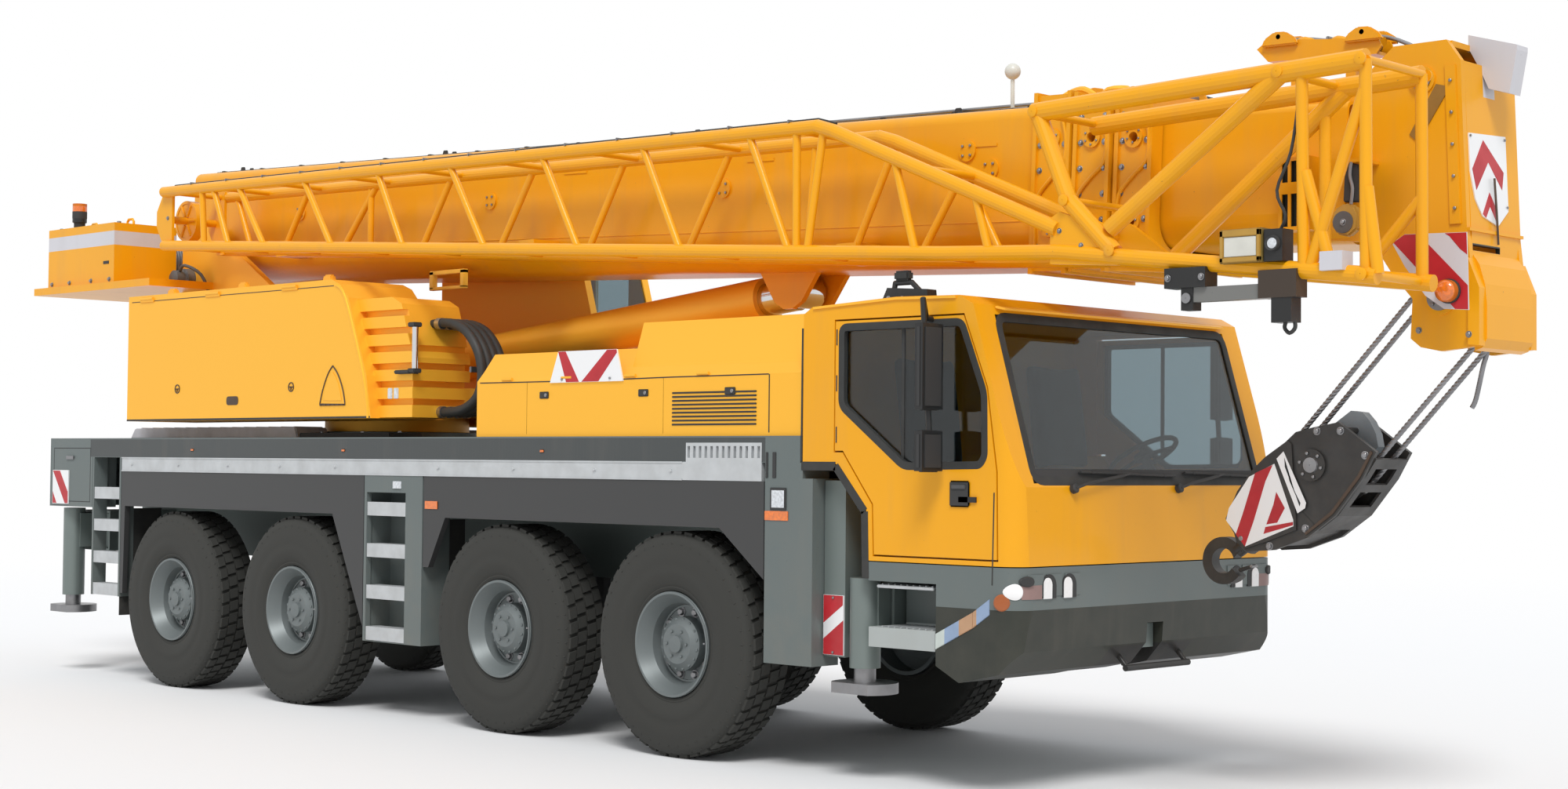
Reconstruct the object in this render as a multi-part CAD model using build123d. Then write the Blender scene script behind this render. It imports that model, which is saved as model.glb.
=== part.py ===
from build123d import *
import os
from math import hypot

# Four-axle mobile crane on the road: millimetres, +X forwards, +Y to its left, +Z up.
# Stations (X) are counted forwards from the rearmost axle while the pieces are made;
# save() then moves the origin to the middle of the overall length, on the ground.

# ---------------------------------------------------------------- driving dimensions
WIDTH = 2550
HALF = WIDTH / 2
TAIL_TIP = -2500
HEAD_TIP = 10530
MIDDLE = (TAIL_TIP + HEAD_TIP) / 2
AXLE_STATIONS = (5700, 4050, 1650, 0)
STEERED_AXLES = (1, 2)
TYRE_RADIUS = 685
TYRE_WIDTH = 385
RIM_RADIUS = 318
TRACK_HALF = HALF - TYRE_WIDTH / 2
KINGPIN_Y = 985
KINGPIN_RADIUS = 45
# wheel hub: distances along the axle count from the middle of the machine
SPINDLE_RADIUS = 60
SPINDLE_END = 1120
HUB_INNER = 1050
HUB_OUTER = 1150
FRAME_HALF = 420
DECK_TOP = 1945
DECK_BOTTOM = 1905
SKIRT_BOTTOM = 1400
GAP = 6

SLEW_STATION = 1200
RING_TOP = 2005
PLATFORM_TOP = 2240
PIVOT = (-800, 3450)
BOOM_DIP = 2.3
BOOM_CENTRE = (4300, 3525)

CYLINDER_BASE = (1350, 2480)
CYLINDER_EYE = (5600, 2900)


# ---------------------------------------------------------------- shape helpers
def block(x, y, z):
    """Box from its low and high limits along each axis."""
    size = (x[1] - x[0], y[1] - y[0], z[1] - z[0])
    return Pos((x[0] + x[1]) / 2, (y[0] + y[1]) / 2, (z[0] + z[1]) / 2) * Box(*size)


def slab(outline, y):
    """Outline in (station, height), extruded across from y[0] to y[1]."""
    edge = Polyline(*[(px, y[0], pz) for px, pz in outline], close=True)
    return extrude(make_face(edge), amount=y[1] - y[0], dir=(0, 1, 0))


def wall(outline, x):
    """Outline in (side, height), extruded forwards from x[0] to x[1]."""
    edge = Polyline(*[(x[0], py, pz) for py, pz in outline], close=True)
    return extrude(make_face(edge), amount=x[1] - x[0], dir=(1, 0, 0))


def plate(outline, z):
    """Outline in (station, side), extruded upwards from z[0] to z[1]."""
    edge = Polyline(*[(px, py, z[0]) for px, py in outline], close=True)
    return extrude(make_face(edge), amount=z[1] - z[0], dir=(0, 0, 1))


def bar(start, end, radius):
    """Round bar between two points."""
    line = Vector(*end) - Vector(*start)
    foot = Plane(origin=start, z_dir=line)
    return foot * Cylinder(radius, line.length, align=(Align.CENTER, Align.CENTER, Align.MIN))


def disc_y(x, z, radius, y):
    """Cylinder about a crosswise axis, from y[0] to y[1]."""
    return bar((x, y[0], z), (x, y[1], z), radius)


def post(x, y, radius, z):
    """Upright cylinder from z[0] to z[1]."""
    return bar((x, y, z[0]), (x, y, z[1]), radius)


def fused(pieces):
    """Union of a list of pieces, touching or not."""
    whole = pieces[0]
    for piece in pieces[1:]:
        whole = whole + piece
    return whole


def turned(profile):
    """Solid turned about the Y axis from an outline in (radius, distance along the axis)."""
    return revolve(make_face(Polyline(*profile, close=True)), axis=Axis.Y)


def mirrored(piece):
    """The same piece on the other side of the machine."""
    return mirror(piece, about=Plane.XZ)


def pair(piece):
    """A piece and its mirror image."""
    return piece + mirrored(piece)


def save(name, shape):
    """Write one node, with the origin moved to the middle of the overall length."""
    export_step(Pos(-MIDDLE, 0, 0) * shape, f"parts/{name}.step")


os.makedirs("parts", exist_ok=True)

# ---------------------------------------------------------------- carrier: frame and axles
BEAM_WIDE = 200
BEAM_DEEP = 280
BOX_WALL = 20
SLEEVE_HALF = 1040
JACK_Y = 1143
BEAM_INNER_END = 1000
JACK_RADIUS = 88
ROD_RADIUS = 62
BARREL_BOTTOM = 640
FOOT_RADIUS = 190
FOOT_HEIGHTS = (500, 560)
# columns: corner name, side (-1 right, +1 left), beam station, height of the beam's axis
OUTRIGGERS = (
    ("front_right", -1, 7172, 960),
    ("front_left", 1, 6914, 960),
    ("rear_right", -1, -1740, 1180),
    ("rear_left", 1, -1470, 1180),
)


def sleeve(station, height, grow):
    """Outrigger sleeve block, its section the beam's own plus a margin all round."""
    wide = BEAM_WIDE / 2 + grow
    deep = BEAM_DEEP / 2 + grow
    reach = SLEEVE_HALF if grow > GAP else SLEEVE_HALF + 5
    return block((station - wide, station + wide), (-reach, reach), (height - deep, height + deep))


def make_chassis_frame():
    """Box-section frame with engine block, slew ring seat, outrigger sleeves and towing gear."""
    spine = slab([(-1900, 1000), (6500, 1000), (6700, 760), (8050, 760), (8050, 1060), (6800, 1120),
                  (6600, 1780), (-1900, 1780)], (-FRAME_HALF, FRAME_HALF))
    ring_seat = post(SLEW_STATION, 0, 640, (1780, RING_TOP - 5))
    engine = block((4300, 6300), (-380, 380), (1700, 2380))
    crossmembers = [block((x - 60, x + 60), (-1030, 1030), (1740, DECK_BOTTOM)) for x in (-1700, 2850, 6600)]
    frame = fused([spine, ring_seat, engine] + crossmembers)
    for _, _, station, height in OUTRIGGERS:
        frame = frame + sleeve(station, height, GAP + BOX_WALL)
    for _, _, station, height in OUTRIGGERS:
        frame = frame - sleeve(station, height, GAP)
    # sign posts on the blind ends of the front sleeves
    frame = frame + block((6890, 7050), (-1180, -SLEEVE_HALF), (690, 1690))
    frame = frame + block((7090, 7250), (SLEEVE_HALF, 1180), (690, 1480))
    tow_jaw = block((-1990, -1900), (-120, 120), (1020, 1220)) - post(-1955, 0, 26, (1000, 1240))
    front_eye = block((8050, 8280), (-70, 70), (765, 900)) - post(8215, 0, 27, (740, 920))
    return fused([frame, tow_jaw, front_eye])


def make_axles():
    """Four axle beams with differential bulbs; the steered ones end in kingpin jaws."""
    axles = []
    for number, station in enumerate(AXLE_STATIONS, start=1):
        bulb = Pos(station, 0, TYRE_RADIUS) * Sphere(205)
        links = [block((station - 40, station + 40), (y - 30, y + 30), (TYRE_RADIUS, 1000)) for y in (-350, 350)]
        if number in STEERED_AXLES:
            tube = disc_y(station, TYRE_RADIUS, 80, (-KINGPIN_Y + 70, KINGPIN_Y - 70))
            jaw = block((station - 60, station + 60), (-KINGPIN_Y - 30, -KINGPIN_Y + 75), (565, 805))
            jaw = jaw - block((station - 65, station + 65), (-KINGPIN_Y - 35, -KINGPIN_Y + 62), (600, 770))
            pin = post(station, -KINGPIN_Y, KINGPIN_RADIUS, (570, 800))
            ends = pair(jaw + pin)
        else:
            tube = disc_y(station, TYRE_RADIUS, 80, (-SPINDLE_END, SPINDLE_END))
            tube = tube - pair(disc_y(station, TYRE_RADIUS, 90, (-SPINDLE_END - 5, -HUB_INNER + 10)))
            spindle = disc_y(station, TYRE_RADIUS, SPINDLE_RADIUS, (-SPINDLE_END, -HUB_INNER + 15))
            flange = disc_y(station, TYRE_RADIUS, 150, (-HUB_INNER + 8, -HUB_INNER + 60))
            ends = pair(spindle + flange)
        axles.append(fused([tube, bulb, ends] + links))
    return fused(axles)


save("chassis_frame", make_chassis_frame())
save("axles", make_axles())


# ---------------------------------------------------------------- wheels and knuckles
TYRE_SIDES = 44


def wheel_name(piece, number, side):
    """Node name of one wheel piece, axle 1 foremost."""
    return f"{piece}_{number}_{'right' if side < 0 else 'left'}"


def facet_ring(radii, y):
    """Many-sided frustum about the Y axis, its flats at two radii, one flat downwards."""
    ends = []
    for radius, distance in zip(radii, y):
        seat = Plane(origin=(0, distance, 0), x_dir=(1, 0, 0), z_dir=(0, 1, 0))
        outline = Rot(0, 0, 180 / TYRE_SIDES) * RegularPolygon(radius, TYRE_SIDES, major_radius=False)
        ends.append(seat * outline)
    return loft(ends, ruled=True)


def make_tyre():
    """Tyre for the left side, centred on the origin: flat-sided rings of few faces."""
    edge = TYRE_WIDTH / 2
    bead = RIM_RADIUS + 2
    shoulder = edge - 48
    sides = (((TYRE_RADIUS, TYRE_RADIUS - 45), (shoulder, edge - 14)),
             ((TYRE_RADIUS - 45, bead + 160), (edge - 14, edge)))
    tyre = facet_ring((TYRE_RADIUS, TYRE_RADIUS), (-shoulder, shoulder))
    for radii, y in sides:
        tyre = tyre + pair(facet_ring(radii, y))
    dish = facet_ring((bead + 160, bead), (edge, edge - 30))
    return tyre - pair(dish) - facet_ring((bead, bead), (-edge, edge))


def make_rim():
    """Dished rim with its planetary hub, for the left side, in distances from the machine's middle."""
    inner, outer = TRACK_HALF - TYRE_WIDTH / 2 + 12, TRACK_HALF + TYRE_WIDTH / 2 - 12
    bore = SPINDLE_RADIUS + 1
    profile = [(RIM_RADIUS, inner), (RIM_RADIUS, outer), (RIM_RADIUS - 14, outer), (RIM_RADIUS - 40, outer - 40),
               (250, outer - 85), (232, outer - 150), (165, HUB_OUTER - 40), (165, HUB_OUTER + 30),
               (120, HUB_OUTER + 62), (0, HUB_OUTER + 62), (0, SPINDLE_END + 8), (bore, SPINDLE_END + 8),
               (bore, HUB_INNER), (110, HUB_INNER), (135, HUB_OUTER - 75), (215, HUB_OUTER - 80),
               (RIM_RADIUS - 26, HUB_OUTER - 95), (RIM_RADIUS - 26, inner)]
    return turned(profile)


def make_knuckle(station):
    """Left steering knuckle: a sleeve on the kingpin and the wheel spindle."""
    sleeve_body = post(station, KINGPIN_Y, 58, (605, 765))
    spindle = disc_y(station, TYRE_RADIUS, SPINDLE_RADIUS, (KINGPIN_Y, SPINDLE_END))
    return sleeve_body + spindle - post(station, KINGPIN_Y, KINGPIN_RADIUS + 0.5, (600, 770))


tyre = Pos(0, TRACK_HALF, 0) * make_tyre()
rim = make_rim()
for number, station in enumerate(AXLE_STATIONS, start=1):
    for side in (-1, 1):
        place = Pos(station, 0, TYRE_RADIUS)
        for piece, shape in (("tyre", tyre), ("rim", rim)):
            placed = place * shape
            save(wheel_name(piece, number, side), placed if side > 0 else mirrored(placed))
        if number in STEERED_AXLES:
            knuckle = make_knuckle(station)
            save(wheel_name("knuckle", number, side), knuckle if side > 0 else mirrored(knuckle))


# ---------------------------------------------------------------- outriggers
def make_beam(side, station, height):
    """Sliding beam with the jack barrel at its outer end, built on the right and mirrored for the left."""
    beam = block((station - BEAM_WIDE / 2, station + BEAM_WIDE / 2), (-JACK_Y, BEAM_INNER_END),
                 (height - BEAM_DEEP / 2, height + BEAM_DEEP / 2))
    barrel = post(station, -JACK_Y, JACK_RADIUS, (BARREL_BOTTOM, height + BEAM_DEEP / 2 + 45))
    bore = post(station, -JACK_Y, ROD_RADIUS + 1, (BARREL_BOTTOM - 5, height + BEAM_DEEP / 2 + 20))
    beam = beam + barrel - bore
    return beam if side < 0 else mirrored(beam)


def make_jack(side, station, height):
    """Jack rod with its foot plate."""
    rod = post(station, -JACK_Y, ROD_RADIUS, (FOOT_HEIGHTS[0] + 20, height + BEAM_DEEP / 2))
    foot = post(station, -JACK_Y, FOOT_RADIUS, FOOT_HEIGHTS)
    foot = foot - block((station - 200, station + 200), (-JACK_Y - 200, -HALF), (FOOT_HEIGHTS[0] - 5, 600))
    jack = rod + foot
    return jack if side < 0 else mirrored(jack)


for corner, side, station, height in OUTRIGGERS:
    save(f"outrigger_beam_{corner}", make_beam(side, station, height))
    save(f"outrigger_jack_{corner}", make_jack(side, station, height))


# ---------------------------------------------------------------- carrier: body
RAIL_HEIGHTS = (1680, 1790)
SKIRT = 45
REAR_BODY = (-1920, -1220)
FRONT_BOX = (6500, 6800)
MID_PANEL = (2560, 3230)
RACK = (5830, 6470)
RACK_SLOTS = 13
LADDER_MID = (2590, 3040)
LADDER_REAR = (-1190, -790)
STEP_DEEP = 95
# columns: ladder limits, tread heights
LADDERS = ((LADDER_MID, (575, 865, 1155, 1445)), (LADDER_REAR, (720, 980, 1240, 1500)))


def make_body_panels():
    """Deck sheet and the grey panels that hang from it, right half mirrored to the left."""
    deck = block((REAR_BODY[0], 6780), (-HALF, HALF), (DECK_BOTTOM, DECK_TOP))
    deck = deck - post(SLEW_STATION, 0, 645, (DECK_BOTTOM - 5, DECK_TOP + 5))
    deck = deck - block((4295, 6305), (-385, 385), (DECK_BOTTOM - 5, DECK_TOP + 5))
    rear = block(REAR_BODY, (-HALF, -1060), (1380, DECK_BOTTOM))
    rear = rear + block((REAR_BODY[0], REAR_BODY[0] + 20), (-1060, 0), (1380, DECK_BOTTOM))
    band = block((REAR_BODY[1], RACK[0]), (-HALF, -HALF + SKIRT), (RAIL_HEIGHTS[1], DECK_BOTTOM))
    band = band + block((RACK[1], 6780), (-HALF, -HALF + SKIRT), (RAIL_HEIGHTS[1], DECK_BOTTOM))
    low, high = 520, RAIL_HEIGHTS[0]
    mid = block(MID_PANEL, (-HALF, -HALF + 40), (low, high))
    mid = mid - block(LADDER_MID, (-HALF - 5, -HALF + 45), (low + 5, 1560))
    mid = mid + block(MID_PANEL, (-HALF + 220, -HALF + 235), (low, DECK_BOTTOM))
    for x in (MID_PANEL[0], LADDER_MID[1] + 5, MID_PANEL[1] - 15):
        mid = mid + block((x, x + 15), (-HALF + 40, -HALF + 220), (low, high))
    box = block(FRONT_BOX, (-HALF, -1050), (630, DECK_BOTTOM))
    box = box - block((FRONT_BOX[0] - 5, FRONT_BOX[1] + 5), (-HALF - 5, -HALF + SKIRT), (RAIL_HEIGHTS[1], 1920))
    stiles = [block((x, x + 22), (-HALF, -HALF + 120), (670, DECK_BOTTOM))
              for x in (LADDER_REAR[0] - 24, LADDER_REAR[1] + 2)]
    right_only = block((FRONT_BOX[1], 6880), (-HALF, -1050), (630, 1700))
    return deck + pair(fused([rear, band, mid, box] + stiles)) + right_only


def make_fenders():
    """Dark skirts and wheelhouse tops over the two axle pairs."""
    high = RAIL_HEIGHTS[0]
    rear = slab([(-700, SKIRT_BOTTOM), (2170, SKIRT_BOTTOM), (2550, 620), (2550, high), (-760, high),
                 (-760, 700), (-720, 700)], (-HALF + 2, -HALF + SKIRT))
    front = slab([(3240, high), (3240, 1060), (3300, 1060), (3480, SKIRT_BOTTOM), (6120, SKIRT_BOTTOM),
                  (6490, 1110), (6490, high)], (-HALF + 2, -HALF + SKIRT))
    shelf_rear = block((-760, 2550), (-HALF + SKIRT, -FRAME_HALF - 2), (high - 40, high))
    shelf_front = block((3240, 6490), (-HALF + SKIRT, -FRAME_HALF - 2), (high - 40, high))
    return pair(rear + shelf_rear) + pair(front + shelf_front)


def make_steps_and_rails():
    """Light deck-edge rails, the slotted rack at their front end, and ladder treads."""
    rack = block(RACK, (-HALF, -HALF + SKIRT), (RAIL_HEIGHTS[1], DECK_BOTTOM))
    pitch = (RACK[1] - RACK[0]) / RACK_SLOTS
    for step in range(RACK_SLOTS):
        middle = RACK[0] + pitch * (step + 0.5)
        rack = rack - block((middle - 11, middle + 11), (-HALF - 5, -HALF + 20), (RAIL_HEIGHTS[1] + 25, 1885))
    pieces = [block((-755, RACK[1]), (-HALF, -HALF + SKIRT), RAIL_HEIGHTS), rack]
    for (rear, front), heights in LADDERS:
        for height in heights:
            pieces.append(block((rear + 1, front - 1), (-HALF + 4, -HALF + 118),
                                (height - STEP_DEEP / 2, height + STEP_DEEP / 2)))
    return pair(fused(pieces))


save("body_panels", make_body_panels())
save("fenders", make_fenders())
save("steps_and_rails", make_steps_and_rails())


# ---------------------------------------------------------------- driver's cab
CAB_REAR = 6800
CAB_NOSE = 8350
CAB_FLOOR = 1250
PANEL = 60
CORNER = 150
SCREEN_FOOT = (8330, 1690)
SCREEN_HEAD = (8060, 2600)
SCREEN_HALF = 1110
DOOR_GAP = 10
HINGE_LINE = (7061, 1264)
HINGE_RADIUS = 14
# outlines in (station, height)
CAB_OUTLINE = ((CAB_REAR, 1785), (7060, 1785), (7290, 1530), (7300, CAB_FLOOR), (8346, CAB_FLOOR), (8338, 1670),
               (8045, 2650), (7950, 2700), (7500, 2710), (6870, 2680), (CAB_REAR, 2640))
CAB_CAVITY = ((CAB_REAR + PANEL, 1845), (7090, 1845), (7350, 1555), (7360, CAB_FLOOR + 50),
              (8280, CAB_FLOOR + 50),
              (8276, 1660), (8000, 2600), (7940, 2630), (7500, 2640), (6900, 2615), (CAB_REAR + PANEL, 2590))
DOOR_OUTLINE = ((7040, 2600), (7040, 1850), (7105, 1850), (7330, 1560), (7340, 1275), (8225, 1275), (8218, 1750),
                (8150, 2200), (7985, 2600))
# headlamp columns: distance of the lamp's middle from the machine's middle, half width
LAMP_SPACES = ((1110, 62), (950, 62), (790, 62))
LAMP_HEIGHTS = (1095, 1205)
DASH_OUTLINE = ((8000, CAB_FLOOR + 50), (8270, CAB_FLOOR + 50), (8255, 1640), (8180, 1690), (7960, 1650))
BOARDING_STEP = (775, 885)
TOW_BAR = (8330, 665)
TOW_BAR_ENDS = (-250, 330)
# rail over the right roof edge, as bar ends
ROOF_BRACKET = ((7440, -1225, 2740), (7450, -1225, 2790), (7570, -1225, 2790), (7640, -1225, 2730))
WINDOW_OUTLINE = ((7090, 2560), (7090, 2110), (7560, 1770), (8100, 1780), (8135, 1830), (8130, 2170),
                  (7970, 2560))


def pane(outline, margin, y):
    """Slab of an outline in (station, height), drawn in by a margin, between two distances across."""
    flat = make_face(Polyline(*outline, close=True))
    if margin:
        flat = offset(flat, amount=-margin, kind=Kind.INTERSECTION)
    return Pos(0, y[1], 0) * Rot(90, 0, 0) * extrude(flat, amount=y[1] - y[0])


def leaning(foot, head, outward, inward, trim, half):
    """Slab along a leaning line in (station, height), between two offsets from it, ends trimmed."""
    run = hypot(head[0] - foot[0], head[1] - foot[1])
    along = ((head[0] - foot[0]) / run, (head[1] - foot[1]) / run)
    normal = (along[1], -along[0])
    corners = []
    for end, sign, reach in ((foot, 1, outward), (head, -1, outward), (head, -1, inward), (foot, 1, inward)):
        corners.append((end[0] + sign * trim * along[0] + reach * normal[0],
                        end[1] + sign * trim * along[1] + reach * normal[1]))
    return slab(corners, (-half, half))


def cab_plan(z):
    """Block with the plan of the cab, its front corners rounded, between two heights."""
    long = CAB_NOSE - CAB_REAR + 200
    sketch = Rectangle(long, WIDTH)
    sketch = fillet(sketch.vertices().filter_by(lambda v: v.X > 0), CORNER)
    return Pos(CAB_NOSE - long / 2, 0, z[0]) * extrude(sketch, amount=z[1] - z[0])


def make_cab_shell():
    """Hollow cab body with its two door openings and the windscreen opening."""
    shell = slab(CAB_OUTLINE, (-HALF, HALF)) & cab_plan((CAB_FLOOR - 10, 2800))
    shell = shell - slab(CAB_CAVITY, (-HALF + PANEL, HALF - PANEL))
    shell = shell - pair(pane(DOOR_OUTLINE, 0, (-HALF - 5, -HALF + PANEL + 5)))
    shell = shell - leaning(SCREEN_FOOT, SCREEN_HEAD, 60, -110, 0, SCREEN_HALF)
    bracket = slab([(7370, 2690), (7710, 2660), (7700, 2745), (7410, 2765)], (-1250, -1170))
    for start, end in zip(ROOF_BRACKET, ROOF_BRACKET[1:]):
        bracket = bracket + bar(start, end, 15) + Pos(*end) * Sphere(15)
    return shell + bracket


def make_door():
    """Right door panel with its window cut out."""
    door = pane(DOOR_OUTLINE, DOOR_GAP, (-HALF, -HALF + PANEL)) & cab_plan((CAB_FLOOR, 2800))
    door = door - pane(WINDOW_OUTLINE, 0, (-HALF - 5, -HALF + PANEL + 5))
    door = door + block((7960, 8080), (-HALF - 12, -HALF + 2), (1585, 1615))
    for z in (1950, 2240, 2500):
        door = door + post(HINGE_LINE[0], -HINGE_LINE[1], HINGE_RADIUS, (z - 45, z + 45))
    route = ((7760, -HALF + 10, 2573), (7760, -HALF - 50, 2580), (7800, -1400, 2680), (7850, -1400, 1960))
    for start, end in zip(route, route[1:]):
        door = door + bar(start, end, 16)
    door = door + block((7830, 7885), (-1500, -1330), (2080, 2540))
    return door + block((7830, 7885), (-1500, -1330), (1750, 1965))


def make_cab_base():
    """Grey lower body of the cab with the bumper, lamp pockets and step recesses."""
    outline = ((7310, 1244), (8346, 1244), (8350, 1000), (8335, 800), (8230, 680), (7960, 620), (7800, 700),
               (7800, 1140), (7310, 1140))
    base = slab(outline, (-HALF, HALF)) & cab_plan((600, 1300))
    base = base + block((7310, 7800), (-950, 950), (800, 1140))
    base = base - block((7300, 8055), (-FRAME_HALF - 3, FRAME_HALF + 3), (600, 1125))
    base = base - block((8040, 8400), (-78, 78), (600, 910))
    base = base + pair(block((7310, 7790), (-HALF + 6, -940), BOARDING_STEP))
    cross = [(TOW_BAR[0], y, TOW_BAR[1]) for y in (TOW_BAR_ENDS[0] - 20, TOW_BAR_ENDS[1] + 20)]
    base = base + bar(*cross, 18)
    for y in TOW_BAR_ENDS:
        base = base + bar((8240, y, 760), (TOW_BAR[0], y, TOW_BAR[1]), 15)
    for middle, half in LAMP_SPACES:
        base = base - pair(block((8300, 8400), (-middle - half, -middle + half), LAMP_HEIGHTS))
    return base


def make_lamps():
    """Headlamps, side lamps and tail lamps."""
    pieces = []
    for middle, half in LAMP_SPACES:
        pieces.append(block((8301, 8344), (-middle - half + 1, -middle + half - 1),
                            (LAMP_HEIGHTS[0] + 1, LAMP_HEIGHTS[1] - 1)))
    pieces.append(block((6560, 6660), (-HALF - 8, -HALF), (1530, 1630)))
    pieces.append(block((2900, 2990), (-HALF - 8, -HALF), (1590, 1640)))
    pieces.append(block((REAR_BODY[0] - 25, REAR_BODY[0]), (-1230, -900), (1420, 1520)))
    return pair(fused(pieces))


def make_cab_glass():
    """Windscreen."""
    return leaning(SCREEN_FOOT, SCREEN_HEAD, -6, -18, 2, SCREEN_HALF - 2)


def make_cab_fittings():
    """Two seats, dashboard and steering wheel."""
    seat = block((7292, 7760), (360, 860), (1640, 1760))
    seat = seat + slab([(7290, 1760), (7190, 2400), (7110, 2400), (7200, 1760)], (380, 840))
    seat = seat + block((7420, 7640), (480, 740), (CAB_FLOOR + 50, 1640))
    dash = slab(DASH_OUTLINE, (-1150, 1150))
    hub = Vector(7830, 610, 1850)
    wheel_plane = Plane(origin=hub, z_dir=(-0.5, 0, 0.85))
    ring = wheel_plane * (Cylinder(225, 28) - Cylinder(197, 40))
    spokes = wheel_plane * (Box(410, 40, 16) + Cylinder(45, 24))
    column = bar(hub, (8040, 610, 1500), 30)
    return pair(seat) + fused([dash, ring, spokes, column])


save("cab_shell", make_cab_shell())
save("cab_base", make_cab_base())
save("cab_glass", make_cab_glass())
save("cab_fittings", make_cab_fittings())
save("lamps", make_lamps())
door = make_door()
window = pane(WINDOW_OUTLINE, 2, (-HALF + 26, -HALF + 36))
for side_name, turn in (("right", lambda piece: piece), ("left", mirrored)):
    save(f"door_{side_name}", turn(door))
    save(f"door_glass_{side_name}", turn(window))


# ---------------------------------------------------------------- engine cover
COVER_HALF = 1250
COVER_SHELL = 30
# cover columns: rear limit, front limit, top height
COVER_STEPS = ((3780, 5260, 2500), (5255, 6765, 2660))
COVER_SHOULDER = 2310


def make_engine_cover():
    """Fixed hood behind the cab: low rear part and high front part over one shouldered base."""
    cover = None
    for rear, front, top in COVER_STEPS:
        half = COVER_HALF
        outline = [(-half, DECK_TOP), (half, DECK_TOP), (half, COVER_SHOULDER),
                   (half - 60, COVER_SHOULDER + 70), (half - 150, top), (-half + 150, top),
                   (-half + 60, COVER_SHOULDER + 70), (-half, COVER_SHOULDER)]
        outer = wall(outline, (rear, front))
        cover = outer if cover is None else cover + outer
    hollow = block((COVER_STEPS[0][0] + COVER_SHELL, COVER_STEPS[1][1] - COVER_SHELL),
                   (-COVER_HALF + COVER_SHELL, COVER_HALF - COVER_SHELL), (DECK_TOP - 5, COVER_SHOULDER - 10))
    hollow = hollow + block((COVER_STEPS[0][0] + COVER_SHELL, COVER_STEPS[1][1] - COVER_SHELL), (-1040, 1040),
                            (DECK_TOP - 5, COVER_STEPS[0][2] - COVER_SHELL))
    return cover - hollow


save("engine_cover", make_engine_cover())
SIGN = 10
COVER_SIGN = ((4540, 2290), (5240, 2290), (5180, 2490), (4620, 2490))
POST_SIGN_HEIGHTS = (700, 1040)


def make_sign_plates():
    """Warning sign plates: on the cover's sides, the rear corners and the two front posts."""
    cover_sign = slab(COVER_SIGN, (-COVER_HALF - SIGN, -COVER_HALF))
    rear_sign = block((REAR_BODY[0] + 60, REAR_BODY[0] + 320), (-HALF - SIGN, -HALF), (1400, 1680))
    right_post = block((6892, 7048), (-1180 - SIGN, -1180), POST_SIGN_HEIGHTS)
    left_post = block((7092, 7248), (1180, 1180 + SIGN), POST_SIGN_HEIGHTS)
    return pair(cover_sign + rear_sign) + right_post + left_post


save("sign_plates", make_sign_plates())


# ---------------------------------------------------------------- superstructure
SLAB_HALF = 560
TURRET_INNER = 500
HOOD_INNER = 645
PIN_RADIUS = 70
BARREL_RADIUS = 150
# outlines in (station, height)
TURRET = ((-560, PLATFORM_TOP), (-1080, 3180), (-1080, 3560), (-960, 3700), (-640, 3700), (700, 2900),
          (2250, 2560), (2250, PLATFORM_TOP))
RIGHT_HOOD = ((-690, 2080), (2620, 2080), (2560, 2380), (2330, 2940), (2230, 3040), (2120, 3080), (-690, 3080))
GRILLE = ((2200, 2085), (3000, 2085), (3000, 2500), (2860, 2880), (2750, 2930), (2200, 2930))
LEFT_HOOD = ((-690, 2080), (950, 2080), (950, 2900), (850, 2980), (-690, 2980))


def make_slew_frame():
    """Turntable ring, platform, the two turret plates and the pins they carry."""
    ring = post(SLEW_STATION, 0, 560, (RING_TOP, 2120))
    platform = block((-690, 2250), (-HOOD_INNER, SLAB_HALF), (2120, PLATFORM_TOP))
    platform = platform + block((-690, 940), (SLAB_HALF, HOOD_INNER), (2120, PLATFORM_TOP))
    turret = slab(TURRET, (-SLAB_HALF, -TURRET_INNER))
    pivot = disc_y(*PIVOT, PIN_RADIUS, (-SLAB_HALF, SLAB_HALF))
    seat = disc_y(*CYLINDER_BASE, 58, (-SLAB_HALF, SLAB_HALF))
    front = block((2200, 2250), (-SLAB_HALF, SLAB_HALF), (PLATFORM_TOP, 2330))
    return fused([ring, platform, pair(turret), pivot, seat, front])


def make_upper_hoods():
    """Right engine hood with its slatted front, and the left tank behind the operator's cab."""
    right = slab(RIGHT_HOOD, (-HALF, -HOOD_INNER))
    grille = slab(GRILLE, (-1200, -700))
    for step in range(6):
        low = 2170 + step * 125
        grille = grille - block((2190, 3010), (-1205, -1150), (low, low + 45))
        grille = grille - block((2940, 3010), (-1150, -700), (low, low + 45))
    left = slab(LEFT_HOOD, (HOOD_INNER, HALF - 40))
    hollow = block((-650, 2150), (-HALF + 40, -HOOD_INNER - 40), (2120, 3030))
    return right + grille + left - hollow - block((-650, 910), (HOOD_INNER + 40, HALF - 80), (2120, 2900))


def make_tail_ballast():
    """Tail plate with the counterweight boxes either side of the hoist winch, and the beacon."""
    floor = block((TAIL_TIP, -1090), (TURRET_INNER - 20, 1150), (3180, 3240))
    floor = pair(floor) + block((TAIL_TIP, -1700), (-500, 500), (3180, 3240))
    foot = pair(block((-1090, -600), (SLAB_HALF, 1150), (3180, 3240)))
    box = block((-2350, -1250), (520, 1100), (3240, 3740))
    back = block((-2350, -2290), (-530, 530), (3240, 3560))
    beacon = post(-2050, -980, 45, (3740, 3800)) + post(-2050, -980, 60, (3800, 3960))
    return fused([floor, foot, pair(box), back, beacon])


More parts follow.
